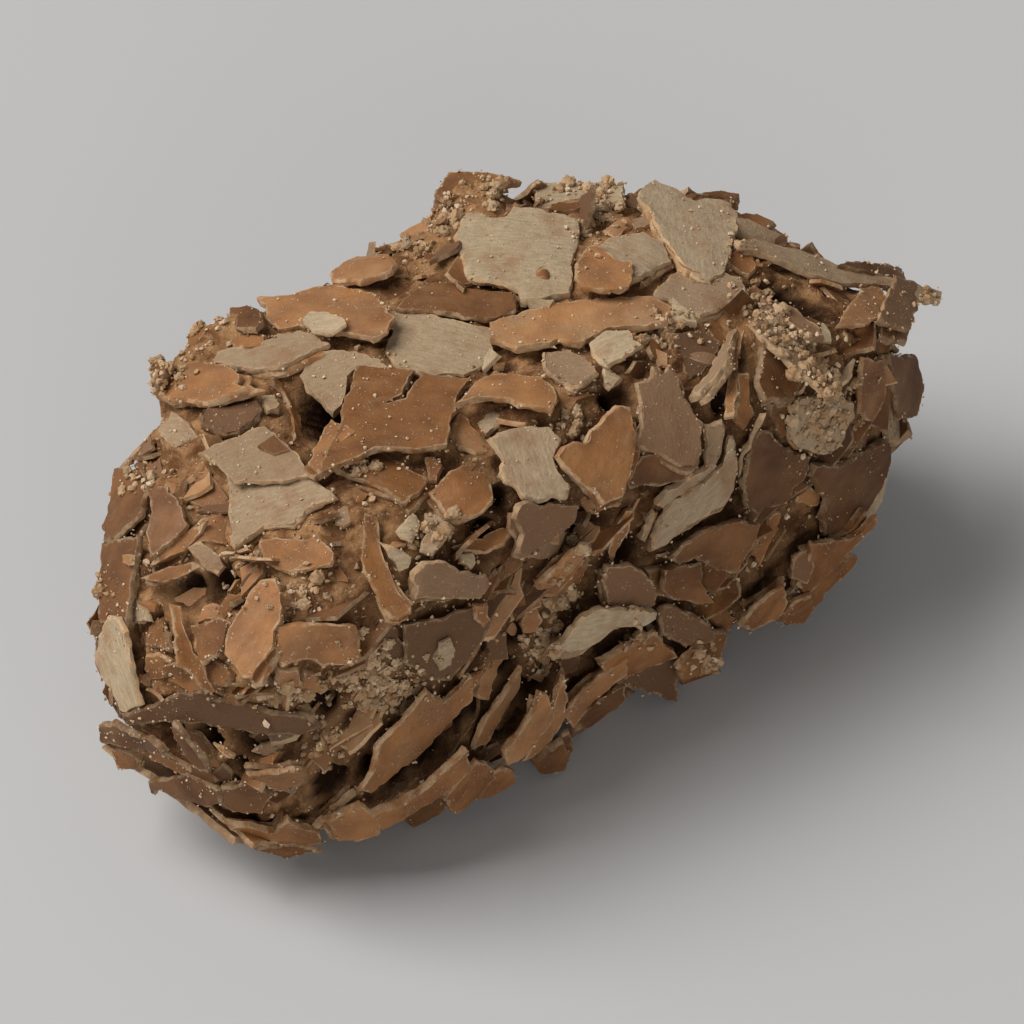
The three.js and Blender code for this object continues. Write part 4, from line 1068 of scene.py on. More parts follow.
    (-14.4, -5.4): [(-15.2, -4.0), (-14.7, -4.2), (-14.5, -5.3), (-14.1, -6.2), (-13.5, -7.1), (-13.1, -7.9),
                    (-13.5, -8.0), (-14.1, -7.3), (-14.8, -6.8), (-15.0, -5.8)],
    (-17.0, -6.9): [(-18.0, -4.6), (-17.5, -4.6), (-17.1, -5.3), (-16.9, -6.2), (-16.7, -7.2), (-16.6, -7.8),
                    (-16.4, -8.6), (-16.9, -8.9), (-17.3, -8.8), (-17.6, -8.0), (-18.1, -7.3), (-18.4, -6.3),
                    (-18.3, -5.4)],
    (-13.4, -11.0): [(-15.2, -9.4), (-14.8, -9.6), (-14.1, -10.3), (-13.5, -11.0), (-13.3, -11.5), (-13.7, -11.4),
                     (-14.4, -10.8), (-15.1, -10.0)],
    (-10.2, -11.9): [(-11.8, -11.6), (-10.9, -11.5), (-9.6, -11.3), (-9.0, -11.4), (-9.2, -11.9), (-10.2, -12.3),
                     (-11.2, -11.9)],
    (-8.2, -11.0): [(-9.1, -10.8), (-8.4, -10.6), (-8.4, -9.9), (-8.1, -10.3), (-7.9, -11.0), (-8.3, -11.6),
                    (-8.6, -11.3)],
    (-7.5, -12.7): [(-8.9, -13.9), (-8.0, -13.1), (-6.9, -12.3), (-6.5, -12.4), (-7.3, -13.1), (-8.3, -13.9)],
    (-9.8, -13.6): [(-12.7, -13.8), (-11.6, -13.9), (-10.6, -14.1), (-9.9, -13.5), (-9.2, -13.9), (-8.5, -14.1),
                    (-8.4, -14.6), (-9.4, -14.7), (-11.0, -14.4), (-12.2, -14.1)],
    (-5.8, -13.0): [(-7.9, -14.4), (-6.5, -13.2), (-5.9, -13.6), (-5.8, -14.1), (-6.8, -14.6), (-7.6, -14.9)],
    (-3.8, -9.6): [(-6.9, -12.4), (-6.3, -11.5), (-6.1, -10.4), (-5.4, -9.6), (-4.6, -8.8), (-3.8, -7.7),
                   (-3.4, -8.1), (-3.0, -8.25), (-2.2, -7.6), (-1.85, -7.1), (-1.6, -7.6), (-1.7, -8.2),
                   (-2.3, -8.8), (-2.9, -9.4), (-3.6, -10.3), (-4.4, -11.0), (-5.4, -11.7), (-6.4, -12.5)],
    (4.3, -5.1): [(2.0, -6.1), (2.6, -5.5), (3.2, -4.7), (4.0, -4.2), (5.0, -4.2), (6.4, -4.4), (6.4, -4.7),
                  (5.6, -5.0), (4.6, -5.0), (4.0, -5.5), (3.1, -6.1), (2.5, -6.3)],
}

# broken pieces too small for the solid: side, tone, lift, outline as seen
pieces = [
    ("smooth", -0.4, 0.0, [(8.0, 13.95), (9.0, 14.1), (10.1, 14.0), (10.1, 13.5), (9.7, 13.6)]),
    ("smooth", 0.4, 0.0, [(4.6, 13.0), (5.3, 13.1), (5.9, 12.5), (4.4, 12.0), (4.0, 12.6)]),
    ("rough", 0.5, 0.0, [(6.8, 8.6), (7.1, 9.4), (7.6, 9.0), (8.2, 8.3), (7.4, 8.3)]),
    ("smooth", 0.1, 0.0, [(9.5, 11.3), (9.9, 11.7), (10.6, 11.4), (10.9, 10.7), (10.5, 10.3), (9.9, 10.6),
                          (9.4, 11.0)]),
    ("smooth", 0.3, 0.3, [(14.4, 8.3), (15.0, 9.2), (15.4, 9.8), (16.2, 9.9), (16.6, 9.3), (16.2, 8.5), (15.2, 8.2)]),
    ("smooth", 0.0, 0.0, [(15.6, 7.9), (16.4, 8.1), (16.9, 7.5), (16.6, 7.0), (15.7, 7.1)]),
    ("rough", -0.1, 0.4, [(11.0, 9.4), (12.5, 8.9), (13.6, 8.0), (13.8, 7.6), (13.2, 7.5), (12.0, 8.5), (11.0, 9.0)]),
    ("smooth", 0.2, 0.5, [(9.9, 8.5), (10.3, 8.4), (10.0, 6.4), (9.8, 4.2), (9.4, 4.2), (9.6, 6.2)]),
    ("smooth", 0.0, 0.3, [(9.9, 6.2), (10.5, 6.2), (10.7, 4.2), (10.3, 3.6), (9.8, 3.9)]),
    ("rough", -1.0, -0.1, [(6.9, 7.2), (7.3, 7.9), (8.8, 8.0), (9.3, 7.4), (8.6, 6.2), (7.7, 5.6), (7.4, 6.6)]),
    ("rough", 0.9, 0.1, [(4.0, 6.6), (5.0, 5.9), (4.3, 5.3), (4.0, 5.6)]),
    ("rough", 0.4, -0.2, [(-2.5, 4.7), (-1.9, 5.1), (-1.1, 5.0), (-0.7, 4.6), (0.5, 4.5), (1.2, 4.0), (0.4, 3.9),
                          (-0.6, 3.7), (-1.2, 3.3), (-1.8, 4.0), (-2.2, 4.3)]),
    ("smooth", 0.3, 0.0, [(-2.8, 3.9), (-2.4, 4.4), (-2.0, 4.1), (-1.3, 3.3), (-0.9, 3.0), (-0.9, 2.6), (-1.6, 2.5),
                          (-2.4, 2.8), (-2.7, 3.3)]),
    ("smooth", 0.1, 0.0, [(2.8, 1.2), (3.1, 0.9), (3.7, 0.6), (3.8, 0.1), (3.3, -0.1), (3.0, 0.3)]),
    ("smooth", -0.1, 0.2, [(-3.9, 2.4), (-3.5, 2.5), (-3.0, 2.0), (-3.3, 1.2), (-3.7, 1.3)]),
    ("rough", 0.4, 0.2, [(-5.2, -0.9), (-4.4, 0.0), (-4.0, -0.4), (-4.4, -1.4), (-4.9, -1.2)]),
    ("rough", 0.3, 0.2, [(-3.9, 0.0), (-3.2, -0.1), (-2.8, -0.6), (-2.8, -1.2), (-3.5, -2.0), (-4.1, -1.8),
                         (-3.9, -1.0)]),
    ("rough", 0.6, 0.2, [(-6.0, -1.2), (-5.2, -1.5), (-4.4, -2.0), (-4.5, -2.5), (-5.0, -2.7), (-5.5, -2.0)]),
    ("rough", 0.6, 0.2, [(-2.4, -1.8), (-1.8, -1.8), (-1.6, -2.3), (-1.9, -2.6), (-2.3, -2.3)]),
    ("smooth", 0.0, 0.2, [(-2.7, -1.6), (-1.2, -1.0), (-0.3, -0.7), (0.1, -0.8), (-0.3, -1.5), (-1.2, -1.9),
                          (-2.4, -1.8)]),
    ("rough", 0.9, 0.2, [(-12.9, -1.8), (-11.4, -1.5), (-11.5, -1.75), (-12.9, -2.0)]),
    ("rough", 0.9, 0.1, [(-12.9, -2.0), (-11.5, -1.9), (-11.6, -2.2), (-12.8, -2.2)]),
    ("smooth", 0.1, 0.0, [(-14.3, -0.8), (-13.3, -0.3), (-12.7, 0.0), (-12.6, -1.5), (-13.3, -1.4), (-14.4, -1.5)]),
    ("rough", 0.1, 0.1, [(-14.4, -1.6), (-13.8, -1.3), (-12.9, -2.0), (-12.7, -2.4), (-13.0, -2.8), (-13.5, -2.6)]),
    ("rough", 0.3, 0.1, [(-17.3, -3.8), (-16.6, -3.6), (-16.0, -4.4), (-15.9, -4.9), (-16.8, -5.0), (-17.2, -4.5)]),
    ("rough", 0.4, 0.1, [(-11.1, 5.1), (-10.5, 5.2), (-10.2, 4.7), (-10.3, 4.4), (-10.9, 4.3)]),
    ("rough", 0.7, 0.1, [(-9.3, 8.3), (-8.9, 8.7), (-8.2, 8.8), (-7.5, 8.5), (-7.3, 8.1), (-7.9, 7.8), (-8.8, 7.9)]),
    ("smooth", 0.1, 0.1, [(-12.4, 7.6), (-11.7, 8.0), (-10.9, 7.9), (-10.9, 7.3), (-11.7, 7.1), (-12.2, 7.2)]),
    ("smooth", -0.6, 0.0, [(-12.5, 8.9), (-11.7, 9.05), (-11.1, 8.9), (-10.9, 8.3), (-11.3, 8.0), (-12.2, 8.0)]),
    ("smooth", -0.5, 0.0, [(-16.0, 6.3), (-15.5, 6.9), (-15.2, 6.2), (-15.6, 5.5), (-15.9, 5.6)]),
    ("smooth", -0.5, 0.1, [(-16.0, -5.0), (-15.4, -4.6), (-15.1, -5.4), (-15.0, -6.3), (-15.6, -6.1), (-16.2, -6.0)]),
    ("smooth", 0.0, 0.2, [(-16.2, -6.3), (-15.6, -6.2), (-15.0, -6.6), (-15.3, -7.3), (-15.9, -7.3), (-16.2, -6.9)]),
    ("smooth", 0.1, 0.1, [(-13.9, -4.9), (-13.7, -4.3), (-13.2, -4.0), (-12.7, -4.2), (-12.9, -4.7)]),
    ("smooth", -0.5, 0.1, [(-13.6, -6.8), (-13.1, -6.4), (-12.6, -6.7), (-12.2, -7.2), (-12.6, -7.8), (-13.1, -7.8)]),
    ("smooth", 0.3, 0.1, [(-10.4, -6.9), (-9.4, -6.8), (-9.3, -7.9), (-10.0, -8.0), (-10.6, -7.6)]),
    ("smooth", 0.2, 0.1, [(-9.3, -6.9), (-8.6, -7.2), (-8.4, -7.9), (-9.0, -8.2), (-9.4, -7.9)]),
    ("smooth", -0.4, 0.0, [(-17.9, -10.4), (-17.0, -10.5), (-16.4, -10.9), (-16.4, -11.5), (-17.3, -11.3)]),
    ("smooth", -0.2, 0.1, [(-17.2, -10.3), (-15.8, -10.5), (-14.6, -11.0), (-13.7, -11.7), (-13.0, -12.2),
                           (-13.6, -12.2), (-14.4, -11.6), (-15.6, -11.1)]),
    ("smooth", 0.2, 0.2, [(-13.3, -10.2), (-12.7, -10.3), (-12.2, -10.8), (-12.3, -11.0), (-12.8, -10.8)]),
    ("rough", -0.7, 0.0, [(-13.4, -11.6), (-12.8, -11.0), (-12.3, -11.4), (-12.3, -12.0), (-13.0, -11.9)]),
    ("rough", 0.2, 0.2, [(-11.6, -10.6), (-11.2, -10.2), (-10.6, -10.0), (-10.0, -10.2), (-10.2, -10.7),
                         (-11.0, -10.9)]),
    ("smooth", -0.3, 0.0, [(-11.5, -14.7), (-10.0, -15.3), (-9.0, -15.0), (-8.3, -14.9), (-9.5, -14.7)]),
    ("smooth", -0.8, 0.0, [(-4.9, -13.4), (-3.4, -12.2), (-2.9, -12.9), (-3.4, -13.4), (-4.4, -13.9)]),
    ("smooth", 0.3, 0.3, [(-0.1, -5.1), (0.0, -5.3), (-0.4, -6.4), (-0.8, -7.4), (-1.1, -8.4), (-1.6, -8.2),
                          (-1.3, -6.9), (-0.8, -6.2)]),
    ("rough", -0.5, 0.0, [(2.0, -6.2), (3.0, -6.3), (2.9, -7.0), (2.3, -7.2), (2.0, -6.8)]),
    ("smooth", 0.4, 0.1, [(0.4, -7.1), (1.5, -7.0), (1.4, -7.5), (0.5, -7.4)]),
    ("smooth", 0.2, 0.0, [(0.3, -4.9), (0.6, -4.3), (1.0, -4.1), (1.3, -4.7), (1.0, -5.3), (0.5, -5.4)]),
    ("rough", 0.3, 0.1, [(-3.4, -6.6), (-3.2, -5.8), (-2.7, -5.5), (-2.4, -6.1), (-2.7, -6.7), (-3.2, -7.1)]),
    ("rough", -0.6, 0.0, [(-6.0, -5.1), (-5.1, -5.1), (-4.8, -6.2), (-5.0, -6.9), (-5.8, -7.0)]),
    ("smooth", 0.1, 0.2, [(-1.6, -4.1), (-1.1, -4.0), (-1.0, -4.8), (-1.3, -5.1), (-1.6, -4.8)]),
    ("rough", 0.3, 0.3, [(6.3, 0.4), (6.8, 1.0), (7.4, 1.3), (8.4, 1.9), (8.9, 2.2), (8.9, 1.9), (8.0, 1.1),
                         (7.2, 0.8), (6.6, 0.2)]),
    ("rough", 0.2, 0.4, [(10.0, 1.4), (10.2, 2.4), (10.9, 3.7), (11.3, 4.4), (11.0, 4.4), (10.4, 3.2), (9.9, 2.2)]),
    ("smooth", -0.6, 0.0, [(11.3, 4.9), (12.4, 4.9), (12.2, 3.4), (11.8, 3.2), (11.4, 4.0)]),
    ("smooth", 0.1, 0.0, [(12.6, 1.2), (13.0, 1.4), (13.4, 1.0), (13.8, 0.4), (13.2, 0.2), (12.6, 0.4)]),
    ("smooth", 0.0, 0.1, [(11.9, 0.0), (11.7, -0.8), (11.2, -1.8), (10.7, -2.6), (10.1, -2.9), (10.3, -2.2),
                          (10.8, -1.2), (11.2, -0.4), (11.6, 0.1)]),
    ("smooth", -0.2, 0.0, [(8.3, -4.1), (9.3, -4.0), (9.9, -4.6), (9.7, -5.3), (9.0, -5.2)]),
    ("smooth", 0.2, 0.3, [(4.2, -1.7), (4.6, -0.4), (5.0, 0.1), (5.3, 0.2), (5.2, -0.4), (4.8, -1.3), (4.4, -2.2)]),
    ("rough", 0.3, 0.2, [(5.6, -1.2), (6.0, -0.2), (6.3, 0.1), (6.1, -0.7), (5.8, -1.3)]),
    ("smooth", -0.1, -0.05, [(0.95, 10.5), (1.2, 10.7), (1.6, 10.7), (1.85, 10.5), (1.6, 10.3), (1.2, 10.3)]),
]


def seenOutline(flake, outline):
    # an outline drawn in the view, carried along the sight lines onto the flake's plane
    corners = []
    for right, up in outline:
        start = seenMiddle + seenRight * right + seenUp * up
        line = (eye - start).normalized()
        reach = (flake["centre"] - start).dot(flake["w"]) / line.dot(flake["w"])
        across = start + line * reach - flake["centre"]
        corners.append((across.dot(flake["u"]), across.dot(flake["v"])))
    return corners


# two plates lie a little lower and to the right, clear of the dark gap beside the long plate
clearOfGap = {(-3.9, -12.2), (-2.0, -10.9)}
gapShift = (0.2, -0.3)


def cornersOf(flake, place):
    if place not in carved:
        return flake["corners"]
    right, up = gapShift if place in clearOfGap else (0, 0)
    return seenOutline(flake, [(x + right, y + up) for x, y in carved[place]])


def flakeMatrix(flake):
    turned = Matrix((flake["u"], flake["v"], flake["w"])).transposed().to_4x4()
    return Matrix.Translation(flake["centre"]) @ turned


def meshSurface(meshes):
    # everything laid so far, for rays in millimetres
    bm = bmesh.new()
    for mesh in meshes:
        bm.from_mesh(mesh)
    bm.transform(Matrix.Scale(1 / mm, 4))
    tree = BVHTree.FromBMesh(bm)
    bm.free()
    return tree


def fallSeen(right, up):
    # the first surface met along the sight line through a place in the view
    start = seenMiddle + seenRight * right + seenUp * up
    line = (eye - start).normalized()
    hit, normal, face, _ = surface.ray_cast(start + line * 40, -line)
    return hit, normal, face


# many flakes have a second one stuck below, a little out of line
alone = {(-3.8, -9.6), (-3.9, -12.2), (-2.0, -10.9), (-4.8, 4.5), (-3.0, -5.6), (13.7, 10.3), (-13.3, -8.8), (-7.8, 6.1)}
under = {"share": 0.6, "drop": (0.24, 0.4), "size": (0.86, 1.0), "turn": 12, "aside": (-0.4, 0.5), "down": (0.1, 0.55)}


def layUnderplates():
    chance = random.Random(17)
    for i, flake in enumerate(laid[hidden:]):
        place = arrangedFlakes[i][:2]
        if chance.random() > under["share"] or place in alone:
            continue
        corners = cornersOf(flake, place)
        turned = Matrix.Rotation(math.radians(chance.uniform(-under["turn"], under["turn"])), 2)
        size = chance.uniform(*under["size"])
        corners = [tuple(turned @ Vector(corner) * size) for corner in corners]
        shift = seenRight * chance.uniform(*under["aside"]) - seenUp * chance.uniform(*under["down"])
        shift -= flake["w"] * (shift.dot(flake["w"]) + chance.uniform(*under["drop"]))
        lower = dict(flake, centre=flake["centre"] + shift)
        side = chance.choice([flake["side"], "smooth"])
        copies = roughCopies if side == "rough" else smoothCopies
        # the lower plate is painted darker, as shade under the plate above
        tone = flake["tone"] - chance.uniform(0, 0.5)
        copies.append((plateShape(corners, chance, 0.22), flakeMatrix(lower), tone))


breaks = random.Random(11)
smoothCopies, roughCopies = [], []
hidden = len(laid) - len(arrangedFlakes)
# flakes on the far side that are broken shorter, because the photograph shows nothing above the edge there
shortened = {3: 0.55, 11: 0.35, 13: 0.7, 28: 0.5}
for i, flake in enumerate(laid):
    place = arrangedFlakes[i - hidden][:2] if i >= hidden else None
    corners = cornersOf(flake, place)
    corners = [(a * shortened.get(i, 1), b * shortened.get(i, 1)) for a, b in corners]
    shape = plateShape(corners, breaks, 0.17 if place else 0.3)
    copies = roughCopies if flake["side"] == "rough" else smoothCopies
    copies.append((shape, flakeMatrix(flake), flake["tone"]))
layUnderplates()
smoothFlakes = joinShapes("smoothFlakes", smoothCopies, smoothFlake)
roughFlakes = joinShapes("roughFlakes", roughCopies, roughFlake)
print("truffle: large flakes made,", len(smoothFlakes.data.polygons) + len(roughFlakes.data.polygons), "faces")

surface = meshSurface([coat.data, smoothFlakes.data, roughFlakes.data])
smoothCopies, roughCopies = [], []
for side, tone, lift, outline in pieces:
    right = sum(corner[0] for corner in outline) / len(outline)
    up = sum(corner[1] for corner in outline) / len(outline)
    at = landOn(bedReach, right, up)[0]
    out = bedNormal(at)
    hit, normal, _ = fallSeen(right, up)
    if hit is None:
        hit, normal = at, out
    w = turnTowards((out + normal).normalized(), towardsEye)
    u = (seenRight - w * seenRight.dot(w)).normalized()
    flake = {"centre": hit + out * (lift + 0.1), "u": u, "v": w.cross(u), "w": w}
    copies = roughCopies if side == "rough" else smoothCopies
    copies.append((plateShape(seenOutline(flake, outline), breaks, 0.15), flakeMatrix(flake), tone))
smoothPieces = joinShapes("smoothPieces", smoothCopies, smoothFlake)
roughPieces = joinShapes("roughPieces", roughCopies, roughFlake)
print("truffle: broken pieces made,", len(pieces))


# ---- small flakes, crumbs and dust on whatever they fall on

surface = meshSurface([piece.data for piece in (coat, smoothFlakes, roughFlakes, smoothPieces, roughPieces)])
coatFaces = len(coat.data.polygons)
chances = random.Random(29)


def chipShape():
    # a small broken plate one unit long, wide and thick
    bm = bmesh.new()
    rimAndShadeLayer = bm.verts.layers.float.new("rimAndPaintedShade")
    bmesh.ops.create_circle(bm, cap_ends=True, segments=chances.choice([4, 5, 6, 7]), radius=0.55)
    for vert in bm.verts:
        vert.co *= chances.uniform(0.7, 1.3)
        vert.co += Vector((chances.uniform(-0.14, 0.14), chances.uniform(-0.14, 0.14), 0))
    bmesh.ops.subdivide_edges(bm, edges=bm.edges[:], cuts=1)
    for vert in bm.verts:
        vert.co += Vector((chances.uniform(-0.05, 0.05), chances.uniform(-0.05, 0.05), 0))
    bmesh.ops.inset_region(bm, faces=bm.faces[:], thickness=0.06, use_boundary=True, use_even_offset=True)
    for vert in bm.verts:
        vert[rimAndShadeLayer] = 1 if vert.is_boundary else 0
    inner = [face for face in bm.faces if not any(vert.is_boundary for vert in face.verts)]
    bmesh.ops.poke(bm, faces=inner)
    grown = bmesh.ops.extrude_face_region(bm, geom=bm.faces[:])
    upper = [item for item in grown["geom"] if isinstance(item, bmesh.types.BMVert)]
    bmesh.ops.translate(bm, vec=(0, 0, 1), verts=upper)
    bmesh.ops.recalc_face_normals(bm, faces=bm.faces)
    bend = chances.uniform(-0.8, 0.8)
    for vert in bm.verts:
        if vert.co.z > 0.5 and vert[rimAndShadeLayer] > 0.5:
            vert.co.x *= chances.uniform(0.85, 1)
            vert.co.y *= chances.uniform(0.85, 1)
        vert.co.z += bend * vert.co.x**2 * 4 - 0.5
    return keepShape(bm)


def crumbShape():
    bm = bmesh.new()
    bmesh.ops.create_icosphere(bm, subdivisions=1, radius=0.5)
    for vert in bm.verts:
        vert.co *= chances.uniform(0.5, 1.35)
    return keepShape(bm)


def lumpShape():
    # crumbs stuck together into one sandy lump
    bm = bmesh.new()
    bmesh.ops.create_icosphere(bm, subdivisions=3, radius=0.5)
    drift = Vector([chances.uniform(-50, 50) for _ in range(3)])
    for vert in bm.verts:
        knob = noise.fractal(vert.co * 4 + drift, 0.8, 2.0, 2) * 0.5 + noise.noise(vert.co * 12 + drift) * 0.35
        vert.co *= 1 + knob
    return keepShape(bm)


chipShapes = [chipShape() for _ in range(30)]
crumbShapes = [crumbShape() for _ in range(16)]
lumpShapes = [lumpShape() for _ in range(12)]


def fallOn(direction):
    # the first surface met from outside in one direction, and the bed's own way out there
    at = bedPoint(direction)
    out = bedNormal(at)
    hit, normal, face, _ = surface.ray_cast(at + out * 9, -out)
    return hit, normal, face, out


def tipped(out, heading, lean):
    # axes of a plate lying on a surface: turned by its heading, then tipped about its own length
    side = out.cross(Vector((0, 0, 1)))
    if side.length < 0.1:
        side = Vector((1, 0, 0))
    u = Matrix.Rotation(heading, 3, out) @ side.normalized()
    w = Matrix.Rotation(lean, 3, u) @ out
    return u, w


def chipMatrix(at, u, w, long, wide, thick):
    u = (u - w * u.dot(w)).normalized()
    turned = Matrix((u * long, w.cross(u) * wide, w * thick)).transposed().to_4x4()
    return Matrix.Translation(at) @ turned


# on the front the flakes lie combed up to the right as seen, one over the next like the leaves of a book
combed = {"level": -0.45, "share": 0.75, "rise": (0.5, 1.3), "lean": (-66, 14), "long": (1.4, 4.0), "wide": (0.7, 1.5), "sunk": 0.7}
small = {"count": 4600, "onCoating": 0.6, "onFlakes": 0.004, "long": (0.5, 2.2), "slim": (0.4, 0.9), "thick": (0.12, 0.24), "cleared": 0.75}


def overFlake(point, out):
    hit, _, face, _ = surface.ray_cast(point + out * 5, -out)
    return hit is not None and face >= coatFaces


def layChips(copies):
    for direction in evenDirections(small["count"], 0.3):
        jitter = Vector([chances.uniform(-0.04, 0.04) for _ in range(3)])
        hit, normal, face, out = fallOn((direction + jitter).normalized())
        draw, pick, thick = chances.random(), chances.random(), chances.uniform(*small["thick"])
        if hit is None or hit.z < 0.9 or inPit(hit) or within(bareSpots, hit):
            continue
        onCoating = face < coatFaces
        onFront = out.y < combed["level"] and pick < combed["share"]
        if draw > (small["onCoating"] if onCoating else small["onFlakes"]) * (1.1 if onFront else 1):
            continue
        if onFront:
            long, wide = chances.uniform(*combed["long"]), chances.uniform(*combed["wide"])
            # flatter towards the edge that is seen against the floor
            steep = max(0.3, min(1, 0.3 + out.dot(towardsEye) * 1.4))
            lean = math.radians(chances.gauss(*combed["lean"])) * steep
            raked = seenRight + seenUp * chances.uniform(*combed["rise"])
            u = (raked - out * raked.dot(out)).normalized()
            w = Matrix.Rotation(lean, 3, u) @ out
        else:
            long = chances.uniform(*small["long"]) * (1 if onCoating else 0.6)
            wide = long * chances.uniform(*small["slim"])
            lean = math.radians(chances.gauss(0, 30) if onCoating else chances.gauss(0, 9))
            u, w = tipped(out if onCoating else normal, chances.uniform(0, 2 * math.pi), lean)
        ends = (hit + u * long * 0.4, hit - u * long * 0.4)
        if any(inPit(end) for end in ends):
            continue
        if onCoating and any(overFlake(end, out) for end in ends) and chances.random() < small["cleared"]:
            continue
        # a chip sunk deeper among the others is painted darker, as shade
        deep = chances.random() if onFront else 0
        lift = thick * 0.3 + abs(math.sin(lean)) * wide * 0.2 - deep * combed["sunk"]
        side = chances.choice(["smooth", "smooth", "smooth" if onFront and chances.random() < 0.5 else "rough"])
        shape = chances.choice(chipShapes)
        # painted shade: small flakes in the listed shaded places are made darker
        tone = chances.uniform(-0.8, 0.6) + 0.5 * onFront - deep * 1.1 - (0.8 if within(paintedShadeSpots, hit) else 0)
        copies[side].append((shape, chipMatrix(hit + out * lift, u, w, long, wide, thick), tone))


chipCopies = {"smooth": [], "rough": []}
layChips(chipCopies)
smoothChips = joinShapes("smoothChips", chipCopies["smooth"], smoothFlake, 35)
roughChips = joinShapes("roughChips", chipCopies["rough"], roughFlake, 35)
print("truffle: small flakes made,", len(chipCopies["smooth"]) + len(chipCopies["rough"]))

crumbs = {"count": 4500, "size": (0.08, 0.36), "lump": (0.28, 0.7), "perLump": 7}
dust = {"count": 9000, "size": (0.04, 0.1)}
rimGrains = {"count": 9000, "size": (0.06, 0.2)}

# where crumbs cling together, as seen: right, up, how many, spread
crumbClusters = [
    (-4.9, 12.2, 50, 0.4), (-3.5, 12.9, 60, 0.5), (-2.5, 13.4, 50, 0.5), (-1.0, 14.4, 50, 0.5),
    (1.5, 14.7, 60, 0.5), (2.8, 14.9, 60, 0.5), (3.4, 12.9, 60, 0.5), (4.2, 13.9, 70, 0.5), (-4.2, 11.8, 50, 0.4),
    (10.3, 9.4, 40, 0.4), (11.3, 9.5, 40, 0.4), (11.6, 8.4, 90, 0.4), (12.6, 7.4, 90, 0.4), (13.5, 6.4, 90, 0.4), (14.3, 5.6, 90, 0.4),
    (13.8, 4.2, 220, 0.7), (18.5, 9.3, 30, 0.3), (10.3, 12.2, 40, 0.4), (-10.6, -8.1, 50, 0.35),
    (-9.4, -8.3, 50, 0.35), (-6.2, -5.8, 50, 0.4), (-6.0, -7.0, 70, 0.5), (-7.3, -7.6, 90, 0.6),
    (-6.0, -8.2, 90, 0.6), (-4.6, -7.6, 90, 0.6), (1.0, -6.3, 50, 0.4), (1.4, -5.7, 50, 0.4), (2.0, -4.2, 50, 0.4),
    (3.2, -1.8, 50, 0.4), (2.2, -3.4, 50, 0.4), (-16.5, 1.6, 50, 0.4), (-18.3, -3.0, 50, 0.4), (-15.0, 7.2, 90, 0.6), (-15.9, 6.2, 90, 0.5), (-13.4, 8.1, 60, 0.5),
    (2.6, 4.2, 40, 0.4), (6.5, 7.4, 40, 0.4), (7.0, 8.3, 40, 0.4), (-3.6, -0.9, 40, 0.5), (5.6, -5.5, 40, 0.4),
    (-6.6, 1.9, 30, 0.3), (-9.0, -3.6, 50, 0.6), (-11.5, -2.6, 40, 0.5), (8.6, -6.4, 40, 0.4), (-8.0, -9.9, 40, 0.4),
]


def crumbMatrix(at, normal, size, sink=0.3):
    u, w = tipped(normal, chances.uniform(0, 2 * math.pi), chances.uniform(-0.5, 0.5))
    squash = chances.uniform(0.55, 1)
    return chipMatrix(at + normal * size * squash * sink, u, w, size, size * chances.uniform(0.6, 1), size * squash)


def sprinkle(copies, count, sizes, start):
    for direction in evenDirections(count, start):
        jitter = Vector([chances.uniform(-0.05, 0.05) for _ in range(3)])
        hit, normal, face, out = fallOn((direction + jitter).normalized())
        if hit is None or hit.z < 0.3 or inPit(hit):
            continue
        onCoating = face < coatFaces
        if not onCoating and noise.noise(hit * 0.35) < (0.15 if out.y < combed["level"] else -0.1):
            continue
        size = sizes[0] + (sizes[1] - sizes[0]) * chances.random() ** 2 * (1 if onCoating else 0.4)
        # crumbs lying on flakes on the front are painted darker, as shade
        tone = chances.uniform(-0.4, 0.8) if onCoating else chances.uniform(0.2, 1) - (out.y < combed["level"]) * 0.8
        copies.append((chances.choice(crumbShapes), crumbMatrix(hit, normal, size), tone))


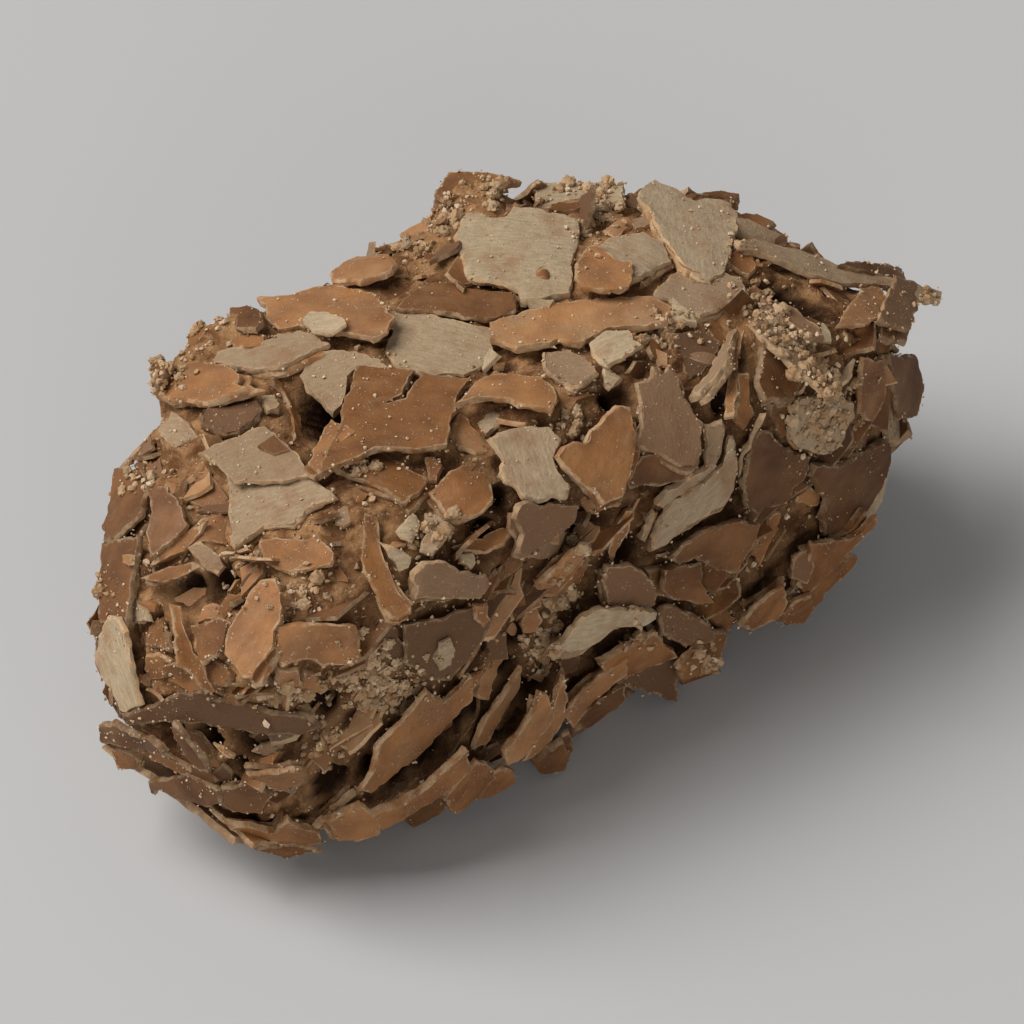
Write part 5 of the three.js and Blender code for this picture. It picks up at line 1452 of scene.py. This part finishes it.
def pileUp(copies, lumps):
    for right, up, count, spread in crumbClusters:
        for i in range(count):
            hit, normal, _ = fallSeen(right + chances.gauss(0, spread), up + chances.gauss(0, spread))
            if hit is None:
                continue
            if i % crumbs["perLump"] == 0:
                size = chances.uniform(*crumbs["lump"])
                lumps.append((chances.choice(lumpShapes), crumbMatrix(hit, normal, size, 0.1), chances.uniform(-0.5, 0.4)))
            low, high = crumbs["size"]
            size = low + (high - low) * chances.random() ** 1.6
            copies.append((chances.choice(crumbShapes), crumbMatrix(hit, normal, size), chances.uniform(-0.3, 0.9)))


def grainRims(copies, meshes):
    # grains held on the broken edges, in patches
    spots = []
    for mesh in meshes:
        coords = np.empty(3 * len(mesh.vertices), "f")
        mesh.vertices.foreach_get("co", coords)
        rimAndPaintedShade = np.empty(len(mesh.vertices), "f")
        mesh.attributes["rimAndPaintedShade"].data.foreach_get("value", rimAndPaintedShade)
        spots.append(coords.reshape(-1, 3)[rimAndPaintedShade > 0.5] / mm)
    spots = np.concatenate(spots)
    for _ in range(rimGrains["count"]):
        at = Vector(spots[chances.randrange(len(spots))].tolist())
        along = Vector([chances.uniform(-0.15, 0.15) for _ in range(3)])
        if at.z < 0.4 or noise.noise(at * 0.7) < -0.12:
            continue
        low, high = rimGrains["size"]
        size = low + (high - low) * chances.random() ** 2
        out = (at - bed["middle"]).normalized()
        copies.append((chances.choice(crumbShapes), crumbMatrix(at + along, out, size, 0), chances.uniform(-0.2, 1)))


crumbCopies, dustCopies, lumpCopies = [], [], []
sprinkle(crumbCopies, crumbs["count"], crumbs["size"], 0.7)
pileUp(crumbCopies, lumpCopies)
broken = (smoothFlakes, roughFlakes, smoothPieces, roughPieces, smoothChips, roughChips)
grainRims(dustCopies, [piece.data for piece in broken])
sprinkle(dustCopies, dust["count"], dust["size"], 0.2)
joinShapes("crumbs", crumbCopies, crumbChocolate, 30)
joinShapes("lumps", lumpCopies, crumbChocolate, 60)
half = len(dustCopies) // 2
joinShapes("rimDust", dustCopies[:half], crumbChocolate, 30)
joinShapes("dust", dustCopies[half:], crumbChocolate, 30)
print("truffle: crumbs made,", len(crumbCopies) + len(dustCopies), "and", len(lumpCopies), "lumps")

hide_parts("truffle")
print("truffle: done")
